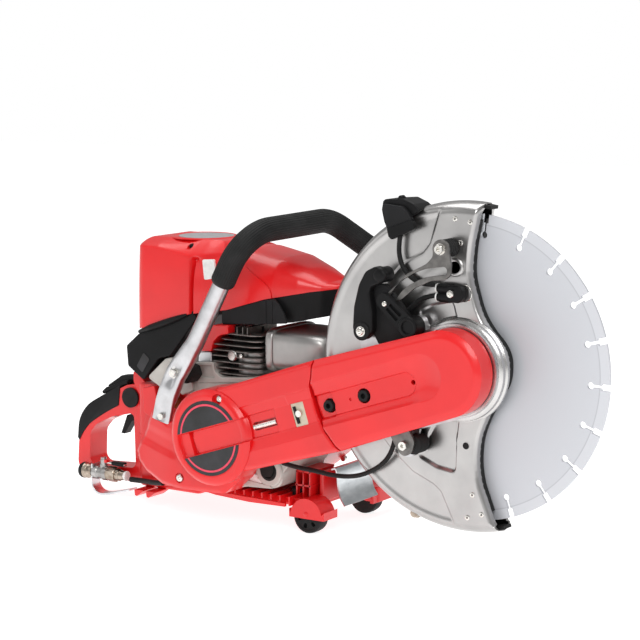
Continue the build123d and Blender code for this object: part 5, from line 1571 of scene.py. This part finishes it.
def rearHandle():
    sizes = rearHandleSizes
    loop = plate("rearHandleLoop", handleOuter, sizes["near"], sizes["far"], "red", "root",
                 edge=0,
                 replaces=["rear_handle"])
    hole = prism(handleInner, 20, 72, onSide)
    triggerSlot = [(-572, -60), (-519.5, -60), (-519.5, -125), (-572, -125)]
    cut(loop, [hole, prism(triggerSlot, 38.8, 53.2, onSide)])
    bevel(loop, sizes["edge"], 6, 50)
    # black soft shell over the top and back of the loop
    upper = [(-536, -79.5), (-570, -97.5), (-592, -111.5), (-605.5, -131), (-609.3, -156)]
    lower = [(-607.5, -158), (-600, -146), (-588, -133), (-565, -118), (-540, -104.5)]
    shell = smoothLine(upper, 40)
    inner = smoothLine(lower, 40)
    outline = [(x - 0.9, z + 1.6) for x, z in shell] + list(inner)
    cover = plate("rearHandleShell", outline, sizes["near"] - 1.4, sizes["far"] + 1.4, "blackSoft", "root",
                  edge=0,
                  replaces=["rear_handle_grip"])
    bevel(cover, 7.5, 5, 60)
    settle(cover)
    cut(cover, [prism([(x, z) for x, z in triggerSlot], 38.8, 53.2, onSide)])
    top = [(-529, -76.5), (-548, -84), (-565, -91.5), (-571, -93.5), (-573, -90), (-566, -84), (-530, -70.5)]
    bevel(plate("handleTopCap", roundCorners(top, 2.0, 4), 33, 60, "black", "root", edge=0),
          2.2, 3, 50)
    boss("handlePlug", (-518.9, -91.8), [(40, 11.2), (27.2, 11.2), (26.4, 10.4), (26.4, 7.6), (27.6, 7.0),
                                         (28.4, 6.8),
                                         (27.4, 5.6), (26.9, 3.0), (26.8, 0.1)],
         "blackSoft", "root", 72)
    boss("handlePlugRing", (-518.9, -91.8), [(34, 12.6), (28.3, 12.6), (27.4, 12.2), (27.0, 11.4), (34, 11.4)],
         "black", "root", 72)
    post = roundCorners([(-512.5, -56.5), (-503.8, -58.1), (-485, -76), (-482, -99), (-503, -133),
                         (-512.5, -118), (-499.5, -92), (-512.5, -70)],
                        [1.5, 2, 6, 10, 2, 4, 9, 5], 6)
    bevel(plate("handlePost", post, 24.5, 40.0, "red", "root", edge=0), 1.6, 3, 50)
    web = roundCorners([(-491, -70), (-462, -67.5), (-457.5, -88.4), (-470, -130), (-494, -176), (-503, -170),
                        (-497, -134),
                        (-486, -100)], [2, 2, 6, 10, 6, 4, 8, 8], 5)
    bevel(plate("handleWeb", web, 21.0, 60.0, "red", "root", edge=0), 1.5, 2, 50)
    shelf = roundCorners([(-482, -72.4), (-462.2, -67.5), (-457.5, -88.4), (-462, -112), (-480, -104)],
                         [1.5, 1.5, 3, 6, 6], 5)
    bevel(plate("pumpBox", shelf, 4.5, 50.0, "red", "root", edge=0), 1.2, 2, 50)


# fuel pump bulb, tap and its fittings
valveSizes = {"line": (14.0, -193.5)}


def tapPieces():
    y, z = valveSizes["line"]
    centre = (y, z)
    lathe("tapSocketRing", [(-591.5, 9.0), (-588.5, 10.6), (-585.5, 10.6), (-584.5, 9.6), (-584.5, 6),
                            (-591.5, 6)], centre,
          "blackSoft", "root", 64, (), "x")
    lathe("tapCollar", [(-587, 6), (-586.8, 9.4), (-585.0, 10.2), (-583.2, 9.4), (-580.5, 9.3), (-579.4, 10.3),
                        (-577.8, 9.3),
                        (-573.5, 9.2), (-571.0, 9.2), (-571.0, 6)], centre, "nickel", "root",
                                72,
          ["water_valve"], "x")
    lathe("tapBody", [(-570.5, 6), (-570.5, 8.8), (-569.0, 9.4), (-563, 9.4), (-561.5, 8.4), (-555, 8.4),
                      (-553.6, 9.6),
                      (-547.5, 9.6), (-546.6, 8.6), (-546.6, 6)], centre, "steel", "root", 72,
                              (), "x")
    lathe("tapStem", [(-187, 5.2), (-181.5, 5.2), (-180.8, 4.4), (-176.0, 4.4), (-175.2, 3.8), (-172.8, 3.6),
                      (-172.4, 0.1)],
          (-555, y), "steel", "root", 48, (), "z")
    nut = hexProfile(-546.4, -532.5, 10.4, centre)
    finishPiece(rawObject("tapHexNut", *nut), "nickel", "root")
    nutSmall = hexProfile(-532.0, -526.5, 8.2, centre)
    finishPiece(rawObject("tapHexNutSmall", *nutSmall), "nickel", "root")
    lathe("tapTaper", [(-533, 7.8), (-531, 7.6), (-519.5, 5.6), (-518.6, 5.0), (-518.6, 3)], centre,
          "nickel", "root", 64, (), "x")
    lathe("tapSeal", [(-519.0, 4.0), (-519.0, 6.0), (-517.8, 6.5), (-516.2, 6.5), (-515.4, 5.8),
                      (-515.4, 4.0)], centre, "label", "root", 64, (), "x")
    # flat lever: a plated foot with a black dipped grip and a red clip
    arm = [(-560.0, -1.5), (-544, -2.6), (-541, -3.6), (-533, -4.2), (-519.5, -3.8), (-518.5, 2.8),
           (-533, 3.8), (-541, 3.4),
           (-544, 2.6), (-560, 1.5)]
    lever = roundCorners([(a, y + 1.0 + b) for a, b in arm], 1.6, 4)
    levels = [(-180.2, -178.4)]
    bevel(finishPiece(rawObject("tapLever", *slabSolid(lever, *levels[0], flatOn)), "bolt", "water_tap",
                      ["valve_lever"]), 0.5, 2)
    dip = roundCorners([(-541, y - 3.6), (-520.0, y - 4.4), (-518.6, y + 5.4), (-541, y + 5.2)], 3.0, 6)
    bevel(finishPiece(rawObject("tapLeverGrip", *slabSolid(dip, -181.6, -176.4, flatOn)), "black", "water_tap"), 1.6, 3)
    clip = roundCorners([(-552.5, y - 3.4), (-548.0, y - 3.4), (-548.0, y + 4.4), (-552.5, y + 4.4)], 1.2, 4)
    bevel(finishPiece(rawObject("tapLeverClip", *slabSolid(clip, -179.6, -175.4, flatOn)), "red", "water_tap"), 0.8, 2)
    # strap that carries the tap under the handle
    outer = smoothLine([(-570.5, -182), (-571.0, -205), (-568.5, -216), (-560, -221.5), (-545, -221.0),
                        (-506.8, -211)], 60)
    inner = smoothLine([(-568.3, -182), (-568.8, -204.5), (-566.6, -213.6), (-559.2, -218.6), (-545.4, -218.2),
                        (-506.8, -208.4)],
                       60)
    outline = list(outer) + list(inner)[::-1]
    bevel(plate("tapStrap", outline, 6.6, 23.4, "zinc", "root", edge=0,
                replaces=["valve_bracket"]), 0.5, 2, 60)


def hexProfile(start, end, radius, centre):  # chamfered six-sided nut lying along x
    y0, z0 = centre
    sides = 48
    angles = np.linspace(0, 2 * math.pi, sides, endpoint=False)
    flat = radius * math.cos(math.pi / 6) / np.cos((angles + math.pi / 6) % (math.pi / 3) - math.pi / 6)
    points, rows = [], [(start, 0.88), (start + 1.2, 1.0), (end - 1.2, 1.0), (end, 0.88)]
    for x, share in rows:
        ring = np.minimum(flat, radius * (1.0 if share == 1.0 else share))
        points += [(x, y0 + r * math.cos(a), z0 + r * math.sin(a)) for r, a in zip(ring, angles)]
    faces = gridFaces(len(rows), sides, False, True)
    faces += [list(range(sides))[::-1], list(range((len(rows) - 1) * sides, len(rows) * sides))]
    return points, faces


# base: fenders over the wheels, ribbed tray, bent plate
def wheelPieces():
    for name, body, node, near, far in (("nearWheel", "near_wheel_body", "near_wheel", -5.0, 12.0),
                                        ("farWheel", "far_wheel_body", "far_wheel", 121.0, 138.0)):
        face = -1 if near < 0 else 1
        front, rear = (near, far) if face < 0 else (far, near)
        inwards = 1 if face < 0 else -1
        profile = [(rear, 4.5), (rear, 19.0), (rear - inwards * 1.2, 20.2), (rear - inwards * 5, 20.5),
                   (front + inwards * 5, 20.5), (front + inwards * 1.0, 20.0), (front, 18.8), (front, 16.6),
                   (front + inwards * 0.8, 16.0), (front + inwards * 0.8, 7.4), (front, 6.8), (front, 4.5)]
        tyre = boss(name + "Tyre", (-221, -204.5), profile, "rubber", body, 96)
        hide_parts(node)
        slots = []
        for k in range(6):
            turn = k * math.pi / 3 + 0.26
            c, s = math.cos(turn), math.sin(turn)
            shape = roundCorners([(8.6, -1.9), (14.6, -2.6), (14.6, 2.6), (8.6, 1.9)], 1.3, 4)
            outline = [(-221 + a * c - b * s, -204.5 + a * s + b * c) for a, b in shape]
            slots.append(prism(outline, front - inwards * 2, front + inwards * 5, onSide))
        cut(tyre, slots)


fenderSizes = {"x": -221.0, "z": -204.5, "outer": 23.2, "inner": 21.4}


def fenderPiece(name, near, far, closed):
    sizes = fenderSizes
    turn = np.linspace(math.radians(12), math.radians(176), 40)
    outerArc = [(sizes["x"] + sizes["outer"] * math.cos(a), sizes["z"] + sizes["outer"] * math.sin(a))
                for a in turn]
    innerArc = [(sizes["x"] + sizes["inner"] * math.cos(a), sizes["z"] + sizes["inner"] * math.sin(a))
                for a in turn]
    outline = [(-194.6, -206.2), (-194.6, -195.6)] + [p for p in outerArc if p[0] < -197.5 or p[1] > -195] \
        + [(-245.6, -195.6), (-245.6, -206.2)]
    room = [(-199.4, -210)] + [p for p in innerArc] + [(-242.4, -210)]
    shell = plate(name, outline, near, far, "red", "root", edge=0)
    inwardNear, inwardFar = (near + 1.6, far + 5) if closed < 0 else (near - 5, far - 1.6)
    cut(shell, [prism(room, inwardNear, inwardFar, onSide)])
    bevel(shell, 0.9, 2, 40)


def basePieces():
    # pan under the engine, fuel tank behind it, cross wall and the far foot of the handle
    pan = slabSolid(roundCorners([(-452, -1), (-216, -1), (-216, 110), (-452, 110)], 6, 5), -194.0, -184.0,
                    flatOn)
    tankShape = roundCorners([(-505.5, 22.5), (-404.5, 22.5), (-404.5, 123.5), (-505.5, 123.5)], 9, 6)
    tank = slabSolid(tankShape, -206.0, -68.5, flatOn)
    wallShape = slabSolid([(-220, 20), (-214, 20), (-214, 110), (-220, 110)], -190, -152.5, flatOn)
    footShape = slabSolid(roundCorners([(-216, 112), (-192.5, 112), (-192.5, 171.5), (-216, 171.5)], 4, 4),
                          -206, -186, flatOn)
    bevel(joined("basePan", [pan], "red", "root", ["base_frame"]), 1.6, 3)
    bevel(joined("fuelTank", [tank], "red", "root"), 5.0, 5)
    bevel(joined("crossWall", [wallShape, footShape], "red", "root"), 1.6, 3)
    seam = roundCorners([(-506.1, 22.0), (-404.0, 22.0), (-404.0, 124.1), (-506.1, 124.1)], 9.4, 6)
    bevel(joined("tankSeam", [slabSolid(seam, -139.0, -136.8, flatOn)], "red", "root"), 0.5, 2)
    for index, (x, z) in enumerate(((-497, -80), (-413, -80), (-497, -196), (-413, -196))):
        roundHead("tankScrew%d" % index, (x, z), -126.4, -122.0, 3.2, "bolt", lambda px, pz, py: (px, -py, pz),
                  socket=0.45)
    fenderPiece("nearFender", -8.0, 22.0, -1)
    fenderPiece("farFender", 104.0, 141.0, 1)
    tray = roundCorners([(-392, -180), (-352, -186.5), (-246, -188.5), (-246, -193.0), (-300, -194.0),
                         (-352, -191.5),
                         (-392, -186)], [2, 4, 1, 1, 4, 6, 2], 4)
    bevel(plate("trayEdge", tray, -16.0, -12.5, "red", "root", edge=0), 0.6, 2, 40)
    ribs = []
    for k in range(11):
        x = -378 + k * 13.5
        ribs.append(slabSolid([(x, -13), (x + 1.8, -13), (x + 1.8, 110), (x, 110)], -192.0 + 2.0 * (x < -350),
                              -180.5, flatOn))
    joined("trayRibs", ribs, "red", "root")
    slats = [slabSolid([(x, 8), (x + 2.0, 8), (x + 2.0, 60), (x, 60)], -190, -152, flatOn) for x in (-246,
            -236.5, -227)]
    slats.append(slabSolid([(-247, 8), (-224, 8), (-224, 60), (-247, 60)], -153.5, -151.0, flatOn))
    slats.append(slabSolid([(-247, 8), (-224, 8), (-224, 60), (-247, 60)], -170.5, -168.5, flatOn))
    joined("frameLadder", slats, "red", "root")
    for index, x in enumerate((-487, -468)):
        tooth = roundCorners([(x - 8, -205.8), (x + 8, -205.8), (x - 4, -214.5), (x - 7, -213.6)], 0.8, 3)
        bevel(plate("standTooth%d" % index, tooth, 2.0, 34.0, "red", "root", edge=0), 0.5, 2, 40)
    # bent plated sheet between the wheels
    line = smoothLine([(-209, -150.5), (-203, -149.5), (-200.5, -158), (-199.5, -170), (-196.0, -184),
                       (-189.5, -194)], 48)
    points = []
    for x, z in line:
        for y in np.linspace(30, 106, 9):
            points.append((x, y, z))
    sheet = rawObject("bentSheet", points, gridFaces(48, 9))
    thicken(sheet, 1.6, 0)
    settle(sheet)
    turnOutward(sheet)
    finishPiece(sheet, "zinc", "root", ["skid_plate"], 40)
    for name, x, z, y in (("near", -221, -204.5, -8.0), ("far", -221, -204.5, 141.0)):
        facing = -1 if y < 0 else 1
        boss(name + "AxleCap", (x, z + 4), [(y - facing * 1, 3.4), (y + facing * 0.4, 3.2),
                                            (y + facing * 0.9, 2.2),
                                        (y + facing * 0.9, 0.1)], "red", "root", 32)


rearHandle()
tapPieces()
wheelPieces()
basePieces()
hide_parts("fasteners")
for index, turn in enumerate((40, 130, 220, 310)):  # screws round the starter cover
    x, z = -312 + 79 * math.cos(math.radians(turn)), -106 + 73 * math.sin(math.radians(turn))
    roundHead("starterScrew%d" % index, (x, z), -142.6, -136.0, 3.4, "bolt", lambda px, pz, py: (px, -py, pz),
              socket=0.45)
lathe("pumpBulb", [(16.5, 10.0), (12.5, 10.0), (11.5, 9.6), (9.5, 9.2), (7.6, 7.8), (6.5, 5.4), (6.05, 2.4),
                   (6.0, 0.1)],
      (-437, -88), "amber", "bulb", 64, ["primer_bulb"], "y")
print("rear, tap and base done")
